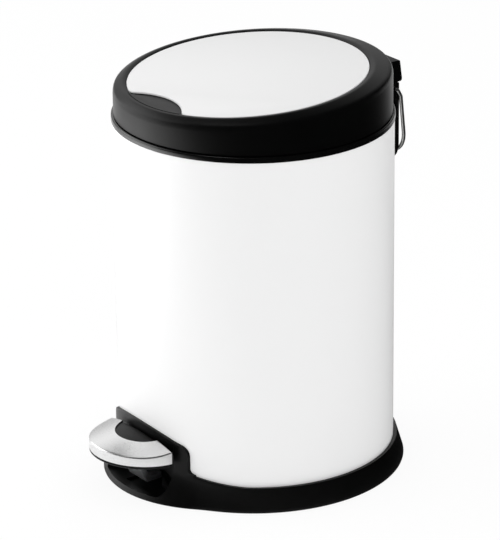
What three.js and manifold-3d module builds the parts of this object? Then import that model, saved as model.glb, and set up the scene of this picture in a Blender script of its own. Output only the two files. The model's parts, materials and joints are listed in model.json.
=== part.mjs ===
// Small pedal bin: a powder-coated steel tube on a black moulded base, with a hinged lid,
// an inner bucket, a steel pedal, and the lever and rod that lift the lid.
// Millimetres, +Z up, the pedal at -Y, the lid hinge at +Y. The origin is the centre of the
// base's underside, on the floor.

import * as THREE from 'three';
import { mergeVertices } from 'three/addons/utils/BufferGeometryUtils.js';
import Module from 'manifold-3d';

const wasm = await Module();
wasm.setup();

// Fits
const fitGap = 0.3;            // between pieces that seat on each other
const runGap = 0.4;            // round a pin that turns
const overrun = 5;             // how far a cut passes the face that it opens

// Body tube
const bodyRadius = 100;
const bodyWall = 0.8;
const bodyTop = 262.2;

// Base moulding
const floorThick = 2.6;
const ringHeight = 17.2;       // top edge of the base ring at the sides and back
const ringFlare = 7.7;         // how far the ring's foot stands outside the body
const ringProud = 1.4;         // how far its top edge stands outside the body
const archProud = 0.9;         // how much further the arch stands out
const footRound = 1.2;
const frontRise = 5.7;         // how much higher the ring's edge is beside the pedal arch
const riseShare = 0.3;         // half of the front rise, as a share of a half turn
const flankPower = 1.5;        // hollow of the flank between foot and top edge
const footReach = 17.2;        // how far the foot under the pedal stands outside the body
const footRadius = 80;
const footBlend = 1.6;
const archHalfWidth = 45.4;
const archHeight = 50.6;
const archRadius = 110;
const archCorner = 8;
const archFillet = 4;
const mouthHalfWidth = 36.5;
const mouthTop = 39;
const mouthCorner = 8.5;
const rimHeight = 4.2;         // lip round the floor of the pedal bay
const rimWidth = 2;
const bayDepth = 7.6;          // from the body's front to the bay's back wall
const bayWall = 2;
const innerWall = 2;
const coverSeat = 31.7;        // top of the wall inside the tube
const openingMargin = 2.6;     // the tube's opening round the bay's walls
const recessFloor = 0.7;       // what is left of the floor under the lever
const recessMargin = 2.5;      // recess in front of the strip's lower bend
const recessDepth = 25.5;      // from the body's front to the recess's inner end
const windowTop = 14;          // window for the lever in the bay's back wall
const ribThick = 1.8;
const ribHeight = 9;
const ribStart = 26;
const ribCount = 6;
const padRadius = 7;
const padThick = 1.2;
const padInset = 12.9;         // pad's centre inside the inner wall
const padCount = 4;

// Lever, pedal pivot and push rod
const pivotBack = 60;          // pivot behind the body's front
const pivotHeight = 16.9;
const pinRadius = 2;
const postThick = 3;
const postHalfDepth = 6;
const earRadius = 5;
const leverThick = 1.8;
const leverHalfWidth = 11;
const leverFrontHeight = 9;    // middle of the strip where it enters the base
const leverRearHeight = 4.8;
const tailEarRadius = 4.1;
const leverTailHalfWidth = 7.3;
const leverTailLength = 24;
const leverFlange = 2.6;       // height of the folded edges above the strip
const leverTravel = 6.5;       // degrees at full press
const leverTailPast = 3.8;     // strip behind the rod's foot
const rodRadius = 1.75;
const rodBend = 4;
const rodBehindFront = 8.8;    // rod axis inside the body's back
const rodEndSpan = 11.5;       // how far the rod's two bent ends reach
const nutThick = 1.2;
const nutRadius = 4;
const clipRadius = 5;
const clipThick = 1;

// Pedal
const pedalBackGap = 2.7;      // pedal's straight back edge to the body
const pedalRadius = 37.9;
const pedalCentreGap = 0.5;    // centre of the pedal's arc outside the body
const pedalTopHeight = 46.2;   // crown at the back edge
const pedalSlope = 0.149;
const pedalCrown = 0.0043;     // fall per square millimetre from the middle
const pedalSheet = 1;
const pedalDepth = 15;         // crown above the skirt's lower edge, both at the back
const pedalSkirtRise = 0.055;  // the skirt's lower edge rises toward the front
const pedalEdgeRound = 1.7;
const insertRadius = 22.6;
const insertCentre = 3.5;      // centre of the insert's arc inside the body
const insertSink = 0.9;
const padLip = 2.2;            // black lip under the steel skirt
const padWall = 2.6;
const crownShares = [0.7, 0.4];  // rings of the crown between the edge and the middle
const pedalSeatLength = 15;    // where the strip lies under the pedal
const seatRise = 1.2;          // strip above the skirt's lower edge
const kneeBack = 2;            // lower bend of the strip, outside the body
const kneeRun = 12.5;          // how far forward the strip climbs to the pedal
const screwRadius = 1.8;
const screwHead = 3.6;
const screwHeadThick = 2.2;
const pedalScrewSpacing = 12;

// Cover over the mechanism, bucket and its bail
const coverThick = 2;
const coverRing = 1.5;
const coverRingHeight = 3;
const bushRadius = 4;
const bushFlange = 5.6;
const bushFlangeThick = 1.2;
const bucketTopDrop = 6.2;     // bucket's rim under the tube's top edge
const bucketWall = 1.6;
const bucketTaper = 6.95;      // bottom narrower than the rim, on the radius
const bucketCorner = 1.9;
const bucketBead = 2.4;
const bucketBeadHeight = 3.4;
const bucketRodGap = 2.5;
const bailRadius = 1.25;
const bailBendShare = 1.6;     // bend of the bail's ends, as a share of its wire's radius
const bailDrop = 5.2;          // bail axis under the bucket's top
const earBossRadius = 3.4;
const earBossLength = 1.1;

// Collar
const collarHeight = 4;
const collarCap = 1.65;        // collar above the tube's top edge
const collarProud = 0.8;
const collarSkirt = 10;
const collarSkirtWall = 2;
const collarLip = 4.2;
const collarChamfer = 0.7;

// Lid
const lidGap = 0.6;            // lid above the collar
const lidInset = 0.4;          // lid wall inside the body's radius
const lidWall = 2.2;
const lidRise = 28.45;         // top of the white panel over the lid's lower edge, at the bin's axis
const lidSlope = 0.0675;       // the top rises toward the hinge
const lidShift = 3;            // the panel sits toward the front
const panelMargin = 15.8;      // white panel inside the lid's wall, on the radius
const panelThick = 1.6;
const panelEdgeGap = 0.5;
const discThick = 2;
const lipRise = 0.75;
const lipWidth = 3.2;
const ridgeDrop = 2.1;         // shoulder under the plane of the panel
const shoulderWidth = 4.6;
const shoulderDrop = 6.2;
const shoulderShares = [[0.08, 0.72], [0.25, 0.5]];  // inward and downward, of the shoulder's two sizes
const ridgeShare = 0.3;        // fall between the lip and the shoulder, of ridgeDrop
const notchDepth = 13.4;
const notchRadius = 43.5;
const notchTip = 4.5;          // rounding of the panel's two tips beside the notch
const ringRib = 4;

// Hinge, bracket and carrying handle
const hingeSetback = 4.2;      // hinge pin outside the body
const hingeRise = 12.75;       // hinge pin above the lid's lower edge
const hingePinRadius = 1.6;
const knuckleHalfWidth = 30;
const knuckleSplit = 10;       // half of the gap between the lid's two knuckles
const knuckleTop = 9.5;        // lid knuckle above the pin
const knuckleBottom = 6.4;     // and below it
const knuckleBackTop = 3.8;
const knuckleBackBottom = 6;
const knuckleCorner = 2.5;
const bridgeThick = 3.9;
const eyeRadius = 4.2;         // bracket's eye round the pin
const saddleRadius = 8.2;
const bracketBack = 7.4;       // bracket's side edges outside the body
const bracketCrown = 2.6;
const bracketLength = 67.5;    // bracket's lower edge under the pin
const bracketCorner = 14;
const bracketScrewRise = 26;   // screws above that edge
const bracketScrewSpacing = 24;
const bracketSeatDepth = 4;
const nutAcross = 3.5;
const nutDepth = 2.6;
const nutSides = 6;
const handleRadius = 1.4;
const handleSetback = 4.5;     // handle pivot outside the body
const handlePinDrop = 11.7;    // handle pivot under the hinge pin
const handleClear = 0.45;      // wire beside the bracket
const handleKneeOut = 2.9;
const handleKneeDown = 5;
const handleDrop = 50.8;       // pivot to the middle of the bottom bar
const handleOut = 12;          // bottom bar outside the body
const handleCorner = 18;
const handleBendShare = 1.2;   // bends at its ends, as a share of the wire's radius
const handleStub = 7;

// Lid lug
const rodArm = 13;             // rod in front of the hinge pin
const hookDrop = 3;            // hook under the hinge pin at rest
const lidTravel = 75;          // degrees
const lugThick = 3;
const lugMargin = 3;
const lugFlangeWidth = 25;
const lugFlangeLength = 18;
const lugFlangeThick = 2.6;
const lugBossDrop = 7.2;       // underside of the lug's bosses under the panel's top
const lugBossRadius = 4.1;
const lugEndTurn = 340;        // degrees: where the plate's outline leaves the slot's open end
const lugRestTurn = 60;        // and where it leaves the end that holds the rod at rest
const lugScrewRadius = 1.5;
const lugScrewSpacing = 17;
const slotSlack = 0.45;
const rodNotchGap = 1.6;

// Facets
const bigSides = 60;
const baseSides = 72;
const midSides = 20;
const smallSides = 12;
const wireSides = 8;
const arcSteps = 5;
const edgeSteps = 2;
const weldReach = 1e-4;        // points nearer than this are one

// Places that follow from the sizes
const deg = Math.PI / 180;
const bodyInside = bodyRadius - bodyWall;
const baseInside = bodyRadius + fitGap;
const ringEdge = bodyRadius + ringProud;
const ringFoot = bodyRadius + ringFlare;
const footCentreY = -(bodyRadius + footReach - footRadius);
const bayBackY = -(bodyRadius - bayDepth);
const wallOut = bodyInside - fitGap;
const wallIn = wallOut - innerWall;
const collarTop = bodyTop + fitGap + collarCap;
const collarLow = collarTop - collarHeight;
const collarOut = bodyRadius + collarProud;
const collarMouth = wallOut - collarLip;
const lidBottom = collarTop + lidGap;
const lidRadius = bodyRadius - lidInset;
const lidPlane = lidBottom + lidRise;
const panelRadius = lidRadius - panelMargin;
const lugBossHeight = lidPlane - lugBossDrop;
const hingeHeight = lidBottom + hingeRise;
const handleHeight = hingeHeight - handlePinDrop;
const bracketBottom = hingeHeight - bracketLength;
const bracketScrewHeight = bracketBottom + bracketScrewRise;
const hingeY = bodyRadius + hingeSetback;
const rodY = bodyRadius - rodBehindFront;
const pivotY = -(bodyRadius - pivotBack);
const leverArm = rodY - pivotY;
const footHeight = pivotHeight - leverArm * Math.tan(leverTravel * deg / 2);
const rodStroke = leverArm * Math.sin(leverTravel * deg);
const hookHeight = hingeHeight - hookDrop;
const coverLow = coverSeat + fitGap;
const coverTop = coverLow + coverThick;
const bucketLow = coverTop + fitGap;
const bucketTop = bodyTop - bucketTopDrop;
const bucketRim = rodY - rodRadius - bucketRodGap;
const bucketBottomRadius = bucketRim - bucketTaper;
const padCircle = wallIn - padInset;
const pedalBackY = -(bodyRadius + pedalBackGap);
const pedalArcY = -(bodyRadius + pedalCentreGap);
const pedalSkirtLow = pedalTopHeight - pedalDepth;

// Turns a closed geometry into a solid, and a solid into a mesh with flat faces
function solid(geometry) {
    const bare = geometry.clone();
    bare.deleteAttribute('normal');
    bare.deleteAttribute('uv');
    const merged = mergeVertices(bare, weldReach);
    return new wasm.Manifold(new wasm.Mesh({
        numProp: 3,
        vertProperties: new Float32Array(merged.attributes.position.array),
        triVerts: new Uint32Array(merged.index.array),
    }));
}

function geometryOf(body) {
    const mesh = body.getMesh();
    const geometry = new THREE.BufferGeometry();
    const places = new Float32Array(mesh.numVert * 3);
    for (let i = 0; i < mesh.numVert; i += 1) {
        for (let k = 0; k < 3; k += 1) places[i * 3 + k] = mesh.vertProperties[i * mesh.numProp + k];
    }
    geometry.setAttribute('position', new THREE.BufferAttribute(places, 3));
    geometry.setIndex(new THREE.BufferAttribute(new Uint32Array(mesh.triVerts), 1));
    return geometry;
}

// Solid of revolution about Z from a closed profile of [radius, height] points
function turned(profile, sides = bigSides) {
    const points = profile.map(([r, z]) => new THREE.Vector2(r, z));
    points.push(points[0].clone());
    const geometry = new THREE.LatheGeometry(points, sides);
    geometry.rotateX(Math.PI / 2);
    const body = solid(geometry);
    return body.volume() < 0 ? solid(flipped(geometry)) : body;
}

function flipped(geometry) {
    const turnedOver = geometry.clone();
    const index = turnedOver.index.array;
    for (let i = 0; i < index.length; i += 3) [index[i + 1], index[i + 2]] = [index[i + 2], index[i + 1]];
    return turnedOver;
}

function shapeOf(points) {
    return new THREE.Shape(points.map(([a, b]) => new THREE.Vector2(a, b)));
}

// Straight extrusions: alongX takes a (Y, Z) outline, alongY an (X, Z) one, alongZ an (X, Y) one
function extruded(shape, depth) {
    return new THREE.ExtrudeGeometry(shape, { depth, bevelEnabled: false, curveSegments: smallSides });
}

function alongX(shape, from, to) {
    const geometry = extruded(shape, to - from);
    geometry.applyMatrix4(new THREE.Matrix4().makeBasis(
        new THREE.Vector3(0, 1, 0), new THREE.Vector3(0, 0, 1), new THREE.Vector3(1, 0, 0)));
    return solid(geometry.translate(from, 0, 0));
}

function alongY(shape, from, to) {
    const geometry = extruded(shape, to - from);
    geometry.applyMatrix4(new THREE.Matrix4().makeBasis(
        new THREE.Vector3(1, 0, 0), new THREE.Vector3(0, 0, 1), new THREE.Vector3(0, -1, 0)));
    return solid(geometry.translate(0, to, 0));
}

function alongZ(shape, from, to) {
    return solid(extruded(shape, to - from).translate(0, 0, from));
}

function block(x0, x1, y0, y1, z0, z1) {
    const geometry = new THREE.BoxGeometry(x1 - x0, y1 - y0, z1 - z0);
    return solid(geometry.translate((x0 + x1) / 2, (y0 + y1) / 2, (z0 + z1) / 2));
}

// Round bars along each axis
function barZ(radius, x, y, z0, z1, sides = smallSides) {
    const geometry = new THREE.CylinderGeometry(radius, radius, z1 - z0, sides).rotateX(Math.PI / 2);
    return solid(geometry.translate(x, y, (z0 + z1) / 2));
}

function barX(radius, x0, x1, y, z, sides = smallSides) {
    const geometry = new THREE.CylinderGeometry(radius, radius, x1 - x0, sides).rotateZ(Math.PI / 2);
    return solid(geometry.translate((x0 + x1) / 2, y, z));
}

function barY(radius, x, y0, y1, z, sides = smallSides) {
    const geometry = new THREE.CylinderGeometry(radius, radius, y1 - y0, sides);
    return solid(geometry.translate(x, (y0 + y1) / 2, z));
}

function join(...bodies) {
    return bodies.reduce((all, body) => all.add(body));
}

function cut(body, ...tools) {
    return tools.reduce((left, tool) => left.subtract(tool), body);
}

// Points of an arc about (a, b), both ends included
function arc(a, b, radius, from, to, steps = arcSteps) {
    const points = [];
    for (let i = 0; i <= steps; i += 1) {
        const angle = (from + (to - from) * i / steps) * deg;
        points.push([a + radius * Math.cos(angle), b + radius * Math.sin(angle)]);
    }
    return points;
}

// Outline with rounded corners, symmetric about the first axis
function roundedBox(half, low, high, lowCorner, highCorner) {
    return [
        ...arc(half - lowCorner, low + lowCorner, lowCorner, -90, 0),
        ...arc(half - highCorner, high - highCorner, highCorner, 0, 90),
        ...arc(-half + highCorner, high - highCorner, highCorner, 90, 180),
        ...arc(-half + lowCorner, low + lowCorner, lowCorner, 180, 270),
    ];
}

// Plate with a round head about (a, b) that stands on the level foot
function tombstone(a, b, radius, foot, halfFoot) {
    return shapeOf([[a - halfFoot, foot], [a + halfFoot, foot], ...arc(a, b, radius, 0, 180, 2 * arcSteps)]);
}

// Stack of rings with the same number of points, closed at both ends by a fan
function loft(rings) {
    const count = rings[0].length;
    const places = [];
    const index = [];
    rings.forEach((ring) => ring.forEach((p) => places.push(p[0], p[1], p[2])));
    for (let k = 0; k + 1 < rings.length; k += 1) {
        for (let i = 0; i < count; i += 1) {
            const a = k * count + i;
            const b = k * count + (i + 1) % count;
            index.push(a, b, b + count, a, b + count, a + count);
        }
    }
    [0, rings.length - 1].forEach((k) => {
        const middle = rings[k].reduce((sum, p) => [sum[0] + p[0], sum[1] + p[1], sum[2] + p[2]], [0, 0, 0]);
        const centre = places.length / 3;
        places.push(middle[0] / count, middle[1] / count, middle[2] / count);
        for (let i = 0; i < count; i += 1) {
            const a = k * count + i;
            const b = k * count + (i + 1) % count;
            if (k === 0) index.push(centre, b, a);
            else index.push(centre, a, b);
        }
    });
    return closedGeometry(places, index);
}

// Sections of the same number of points round a closed ring
function ringOf(sections) {
    const count = sections[0].length;
    const places = sections.flat(2);
    const index = [];
    sections.forEach((section, k) => {
        const next = (k + 1) % sections.length;
        for (let i = 0; i < count; i += 1) {
            const j = (i + 1) % count;
            index.push(k * count + i, next * count + i, next * count + j);
            index.push(k * count + i, next * count + j, k * count + j);
        }
    });
    return closedGeometry(places, index);
}

function closedGeometry(places, index) {
    const geometry = new THREE.BufferGeometry();
    geometry.setAttribute('position', new THREE.Float32BufferAttribute(places, 3));
    geometry.setIndex(index);
    const body = solid(geometry);
    return body.volume() < 0 ? solid(flipped(geometry)) : body;
}

// Path of a bent wire: corners of the route are rounded, and each ring of the wire
// stands at one of the points that result
class BentPath extends THREE.Curve {
    constructor(corners, bends) {
        super();
        this.points = [corners[0]];
        for (let i = 1; i + 1 < corners.length; i += 1) this.round(corners, i, bends[i - 1]);
        this.points.push(corners[corners.length - 1]);
    }

    round(corners, i, bend) {
        const corner = corners[i];
        if (bend === 0) {
            this.points.push(corner);
            return;
        }
        const back = corners[i - 1].clone().sub(corner).normalize();
        const ahead = corners[i + 1].clone().sub(corner).normalize();
        const turn = Math.PI - back.angleTo(ahead);
        const reach = bend * Math.tan(turn / 2);
        const start = corner.clone().addScaledVector(back, reach);
        const middle = back.clone().add(ahead).normalize();
        const centre = corner.clone().addScaledVector(middle, bend / Math.cos(turn / 2));
        const spoke = start.clone().sub(centre);
        const axis = back.clone().negate().cross(ahead).normalize();
        const steps = Math.max(2, Math.ceil(turn / (Math.PI / 2) * arcSteps));
        for (let k = 0; k <= steps; k += 1) {
            this.points.push(centre.clone().add(spoke.clone().applyAxisAngle(axis, turn * k / steps)));
        }
    }

    get steps() {
        return this.points.length - 1;
    }

    getPoint(t) {
        const place = t * this.steps;
        const i = Math.min(Math.floor(place), this.steps - 1);
        return this.points[i].clone().lerp(this.points[i + 1], place - i);
    }

    getPointAt(u) {
        return this.getPoint(u);
    }

    getTangentAt(u) {
        const i = Math.round(u * this.steps);
        const before = this.points[i].clone().sub(this.points[Math.max(i - 1, 0)]).normalize();
        const after = this.points[Math.min(i + 1, this.steps)].clone().sub(this.points[i]).normalize();
        return before.add(after).normalize();
    }
}

function wire(corners, bends, radius) {
    const path = new BentPath(corners, bends);
    const section = shapeOf(arc(0, 0, radius, 0, 360 - 360 / wireSides, wireSides - 1));
    const geometry = new THREE.ExtrudeGeometry(section, { steps: path.steps, extrudePath: path });
    const body = solid(geometry);
    return body.volume() < 0 ? solid(flipped(geometry)) : body;
}

// Strip of even thickness along a middle line, as an outline; lift thickens its upper side
function band(line, thick, lift = 0) {
    const sides = [[], []];
    line.forEach((p, i) => {
        const before = line[Math.max(i - 1, 0)];
        const after = line[Math.min(i + 1, line.length - 1)];
        const headings = [[before, p], [p, after]].filter(([a, b]) => a !== b)
            .map(([a, b]) => Math.atan2(b[1] - a[1], b[0] - a[0]));
        const heading = (headings[0] + headings[headings.length - 1]) / 2;
        const reach = thick / 2 / Math.cos((headings[headings.length - 1] - headings[0]) / 2);
        const upper = reach * (1 + 2 * lift / thick);
        sides[0].push([p[0] + reach * Math.sin(heading), p[1] - reach * Math.cos(heading)]);
        sides[1].push([p[0] - upper * Math.sin(heading), p[1] + upper * Math.cos(heading)]);
    });
    return shapeOf([...sides[0], ...sides[1].reverse()]);
}

// Base moulding

function smoothMax(a, b, blend) {
    return (a + b + Math.hypot(a - b, blend)) / 2;
}

// How near an angle is to the arch: 0 at the sides and back, 1 at the arch's own side
function frontShare(angle) {
    const end = riseShare * Math.PI;
    return Math.max(0, end - angle) / (end - Math.asin(archHalfWidth / ringEdge));
}

// Height of the ring's top edge at an angle from the front, in radians
function ringTop(angle) {
    return ringHeight + frontRise * frontShare(angle) ** flankPower;
}

function footEdge(angle) {
    const across = footCentreY * Math.sin(angle);
    const lobe = -footCentreY * Math.cos(angle) + Math.sqrt(Math.max(0, footRadius ** 2 - across ** 2));
    return smoothMax(ringFoot, lobe, footBlend);
}

function baseSkirt() {
    const sections = [];
    const flankShares = [0, 0.2, 0.4, 0.6, 0.8, 1];
    const roundShare = 0.3;
    for (let i = 0; i < baseSides; i += 1) {
        const turn = 2 * Math.PI * i / baseSides;
        const angle = Math.min(turn, 2 * Math.PI - turn);
        const top = ringTop(angle);
        const edge = footEdge(angle);
        const lip = ringEdge + archProud * Math.min(1, frontShare(angle));
        const profile = [
            [baseInside, 0], [edge - footRound, 0], [edge - roundShare * footRound, roundShare * footRound],
        ];
        flankShares.forEach((share) => {
            const height = footRound + share * (top - 2 * footRound);
            profile.push([lip + (edge - lip) * (1 - share) ** flankPower, height]);
        });
        profile.push([lip - roundShare * ringProud, top], [baseInside, top]);
        sections.push(profile.map(([r, z]) => [r * Math.sin(turn), -r * Math.cos(turn), z]));
    }
    return ringOf(sections);
}

// Arch outline seen from the front, with a fillet where its sides meet the ring
function archOutline() {
    const shoulder = archHalfWidth - archCorner;
    const arcFall = archRadius - Math.sqrt(archRadius ** 2 - shoulder ** 2);
    const cornerHeight = archHeight - arcFall - archCorner;
    const lean = Math.asin(shoulder / archRadius) / deg;
    const foot = ringTop(Math.asin(archHalfWidth / ringEdge));
    const side = [
        ...arc(archHalfWidth + archFillet, foot + archFillet, archFillet, 270, 180),
        ...arc(shoulder, cornerHeight, archCorner, 0, 90 - lean),
        ...arc(0, archHeight - archRadius, archRadius, 90 - lean, 90).slice(1),
    ];
    const mirrored = side.slice(0, -1).reverse().map(([x, z]) => [-x, z]);
    return shapeOf([[archHalfWidth + archFillet, 0], ...side, ...mirrored, [-archHalfWidth - archFillet, 0]]);
}

function mouthShape(grow, low) {
    const half = mouthHalfWidth + grow;
    return shapeOf(roundedBox(half, low, mouthTop + grow, mouthCorner + grow, mouthCorner + grow));
}

function pivotPosts() {
    const inner = leverHalfWidth + postThick;
    const post = (from) => alongX(
        tombstone(pivotY, pivotHeight, postHalfDepth, floorThick / 2, postHalfDepth), from, from + postThick);
    return cut(join(post(inner), post(-inner - postThick)),
        barX(pinRadius + fitGap, -inner - 2 * postThick, inner + 2 * postThick, pivotY, pivotHeight));
}

function baseRibs() {
    const ribs = [];
    for (let i = 0; i < ribCount; i += 1) {
        const rib = new THREE.BoxGeometry(wallIn - ribStart + innerWall / 2, ribThick, ribHeight);
        rib.translate((wallIn + ribStart + innerWall / 2) / 2, 0, ribHeight / 2 + floorThick / 2);
        ribs.push(solid(rib.rotateZ((i + 1 / 2) * 2 * Math.PI / ribCount - Math.PI / 2)));
    }
    return join(...ribs);
}

function base() {
    const front = -(bodyRadius + footReach + overrun);
    const archOut = ringEdge + archProud;
    const arch = alongY(archOutline(), front, -ringEdge / 2)
        .intersect(turned([[baseInside, 0], [archOut, 0], [archOut, archHeight + overrun],
            [baseInside, archHeight + overrun]], baseSides));
    const bay = alongY(mouthShape(bayWall, 0), -archOut, bayBackY + bayWall)
        .intersect(barZ(baseInside + fitGap, 0, 0, 0, mouthTop + overrun, baseSides));
    const innerTube = turned([[wallIn, floorThick / 2], [wallOut, floorThick / 2], [wallOut, coverSeat],
        [wallIn, coverSeat]]);
    const floor = barZ(baseInside + fitGap, 0, 0, 0, floorThick, baseSides);
    let body = join(baseSkirt(), floor, arch, innerTube, bay);
    const mouth = alongY(mouthShape(0, rimHeight), front, bayBackY);
    const bayFloor = alongY(mouthShape(0, floorThick), front, bayBackY)
        .intersect(barZ(footRadius - rimWidth, 0, footCentreY, 0, mouthTop + overrun, baseSides));
    const leverHalf = leverHalfWidth + leverThick;
    const window = block(-leverHalf, leverHalf, bayBackY - overrun, bayBackY + bayWall + overrun,
        floorThick, windowTop);
    const leverRecess = block(-leverHalf, leverHalf, -bodyRadius - kneeBack - leverThick - recessMargin,
        -bodyRadius + recessDepth, recessFloor, floorThick + overrun);
    body = cut(body, mouth, bayFloor);
    body = join(body, baseRibs(), pivotPosts());
    body = cut(body, window, leverRecess, leverChannel());
    const padSeats = padPlaces().map(([x, y]) => barZ(padRadius + fitGap, x, y, -overrun, padThick + fitGap));
    return cut(body, ...padSeats);
}

// Room that the ribs leave for the lever, from the pivot to the rod
function leverChannel() {
    const half = leverHalfWidth + leverThick;
    return block(-half, half, pivotY - 2 * earRadius, wallIn, floorThick, floorThick + ribHeight + overrun);
}

function padPlaces() {
    const places = [];
    for (let i = 0; i < padCount; i += 1) {
        const angle = (i + 1 / 2) * 2 * Math.PI / padCount;
        places.push([padCircle * Math.cos(angle), padCircle * Math.sin(angle)]);
    }
    return places;
}

// Tube, with the pedal's opening in front and the bracket's screw holes behind

function bodyShell() {
    const low = floorThick + fitGap;
    const tube = turned([[bodyInside, low], [bodyRadius, low], [bodyRadius, bodyTop], [bodyInside, bodyTop]]);
    const half = mouthHalfWidth + bayWall + openingMargin;
    const opening = shapeOf([[-half, 0], [half, 0],
        ...arc(half - archCorner, mouthTop + bayWall + openingMargin - archCorner, archCorner, 0, 90),
        ...arc(-half + archCorner, mouthTop + bayWall + openingMargin - archCorner, archCorner, 90, 180)]);
    const holes = screwSides().map((x) => barY(screwRadius + fitGap, x, bodyInside / 2, bodyRadius + overrun,
        bracketScrewHeight));
    return cut(tube, alongY(opening, -bodyRadius - overrun, -bodyRadius / 2), ...holes);
}

function screwSides() {
    return [-bracketScrewSpacing / 2, bracketScrewSpacing / 2];
}

function topCollar() {
    const skirtIn = wallOut - collarSkirtWall;
    const skirtLow = collarLow - collarSkirt;
    return turned([
        [baseInside, collarLow], [collarOut, collarLow], [collarOut, collarTop - collarChamfer],
        [collarOut - collarChamfer, collarTop], [collarMouth, collarTop],
        [collarMouth, collarTop - collarSkirtWall],
        [skirtIn, collarLow], [skirtIn, skirtLow], [wallOut, skirtLow],
        [wallOut, bodyTop + fitGap], [baseInside, bodyTop + fitGap],
    ]);
}

function footPad([x, y]) {
    return barZ(padRadius, x, y, 0, padThick);
}

// Cover over the lever, which carries the bucket

function mechanismCover() {
    const ringIn = bucketBottomRadius + 2 * fitGap;
    const ringOut = ringIn + coverRing;
    const disc = turned([[0, coverLow], [wallOut, coverLow], [wallOut, coverTop], [ringOut, coverTop],
        [ringOut, coverTop + coverRingHeight], [ringIn, coverTop + coverRingHeight], [ringIn, coverTop],
        [0, coverTop]], bigSides);
    const bay = alongY(mouthShape(bayWall + fitGap, 0), -bodyRadius - overrun, bayBackY + bayWall + fitGap);
    const rodHole = barZ(bushRadius + fitGap, 0, rodY, coverLow - overrun, coverTop + overrun);
    return cut(disc, bay, rodHole);
}

function rodBush() {
    const flangeLow = coverTop + fitGap;
    const flange = barZ(bushFlange, 0, rodY, flangeLow, flangeLow + bushFlangeThick);
    const sleeve = barZ(bushRadius, 0, rodY, coverLow - fitGap, flangeLow + bushFlangeThick / 2);
    return cut(join(flange, sleeve), barZ(rodRadius + runGap, 0, rodY, 0, bodyTop));
}

// Bucket and its wire bail

function innerBucket() {
    const corner = bucketCorner;
    const rimLow = bucketTop - bucketBeadHeight;
    const neck = bucketRim - bucketBead;
    const shell = turned([
        [0, bucketLow], [bucketBottomRadius - corner, bucketLow], [bucketBottomRadius, bucketLow + corner],
        [neck, rimLow], [bucketRim, rimLow + bucketWall / 2], [bucketRim, bucketTop - bucketWall / 2],
        [bucketRim - bucketWall / 2, bucketTop], [neck - bucketWall / 2, bucketTop],
        [neck - bucketWall, bucketTop - bucketWall],
        [bucketBottomRadius - bucketWall, bucketLow + corner + bucketWall],
        [bucketBottomRadius - corner - bucketWall, bucketLow + bucketWall], [0, bucketLow + bucketWall],
    ]);
    const bailZ = bucketTop - bailDrop;
    const inside = neck - bucketWall / 2;
    const outside = bucketRim + earBossLength;
    const bosses = join(barX(earBossRadius, inside, outside, 0, bailZ),
        barX(earBossRadius, -outside, -inside, 0, bailZ));
    const holes = join(barX(bailRadius + runGap, neck + bucketWall / 2, outside + overrun, 0, bailZ),
        barX(bailRadius + runGap, -outside - overrun, -neck - bucketWall / 2, 0, bailZ));
    return cut(join(shell, bosses), holes);
}

function bucketBail() {
    const bailZ = bucketTop - bailDrop;
    const bend = bailBendShare * bailRadius;
    const side = bucketRim + earBossLength + fitGap + bend;
    const stub = bucketRim - bucketBead + bucketWall / 2 + fitGap;
    const route = [new THREE.Vector3(stub, 0, bailZ)];
    for (let i = 0; i <= midSides; i += 1) {
        const angle = Math.PI * i / midSides;
        route.push(new THREE.Vector3(side * Math.cos(angle), -side * Math.sin(angle), bailZ));
    }
    route.push(new THREE.Vector3(-stub, 0, bailZ));
    const bends = route.slice(1, -1).map((p, i) => (i === 0 || i === midSides ? bend : 0));
    return wire(route, bends, bailRadius);
}

// Hinge bracket on the back of the tube

function bracketPlate() {
    const low = bracketBottom;
    const high = hingeHeight - knuckleBottom - runGap;
    const crownRadius = (knuckleHalfWidth ** 2 + bracketCrown ** 2) / (2 * bracketCrown);
    const backMiddle = bodyRadius + bracketBack + bracketCrown;
    const shield = shapeOf([
        ...arc(-knuckleHalfWidth + bracketCorner, low + bracketCorner, bracketCorner, 180, 270),
        ...arc(knuckleHalfWidth - bracketCorner, low + bracketCorner, bracketCorner, 270, 360),
        [knuckleHalfWidth, high], [-knuckleHalfWidth, high],
    ]);
    const plate = alongY(shield, bodyRadius / 2, backMiddle + overrun)
        .intersect(barZ(crownRadius, 0, backMiddle - crownRadius, 0, hingeHeight, baseSides * 2));
    const reach = knuckleHalfWidth + overrun;
    return cut(plate, barX(saddleRadius, -reach, reach, hingeY, hingeHeight, midSides));
}

function bracketEye() {
    const half = knuckleSplit - runGap;
    const stem = block(-half, half, bodyRadius + runGap, hingeY + eyeRadius, hingeHeight - 2 * eyeRadius,
        hingeHeight);
    return join(stem, barX(eyeRadius, -half, half, hingeY, hingeHeight, midSides / 2));
}

function hingeBracket() {
    const whole = join(bracketPlate(), bracketEye());
    const tools = [
        barZ(baseInside, 0, 0, 0, collarLow, baseSides),
        barZ(collarOut + fitGap, 0, 0, collarLow - fitGap, lidBottom, baseSides),
        barZ(bodyRadius + runGap / 2, 0, 0, collarTop, hingeHeight + 2 * eyeRadius, baseSides),
        barX(hingePinRadius + fitGap, -knuckleHalfWidth, knuckleHalfWidth, hingeY, hingeHeight),
        barX(handleRadius + fitGap, knuckleHalfWidth - handleStub - fitGap, knuckleHalfWidth + overrun,
            bodyRadius + handleSetback, handleHeight),
        barX(handleRadius + fitGap, -knuckleHalfWidth - overrun, -knuckleHalfWidth + handleStub + fitGap,
            bodyRadius + handleSetback, handleHeight),
    ];
    const behind = bodyRadius + 2 * bracketBack;
    screwSides().forEach((x) => {
        tools.push(barY(screwRadius + fitGap, x, 0, behind, bracketScrewHeight));
        tools.push(barY(screwHead + 2 * fitGap, x, bodyRadius + bracketSeatDepth, behind, bracketScrewHeight));
    });
    return cut(whole, ...tools);
}

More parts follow.
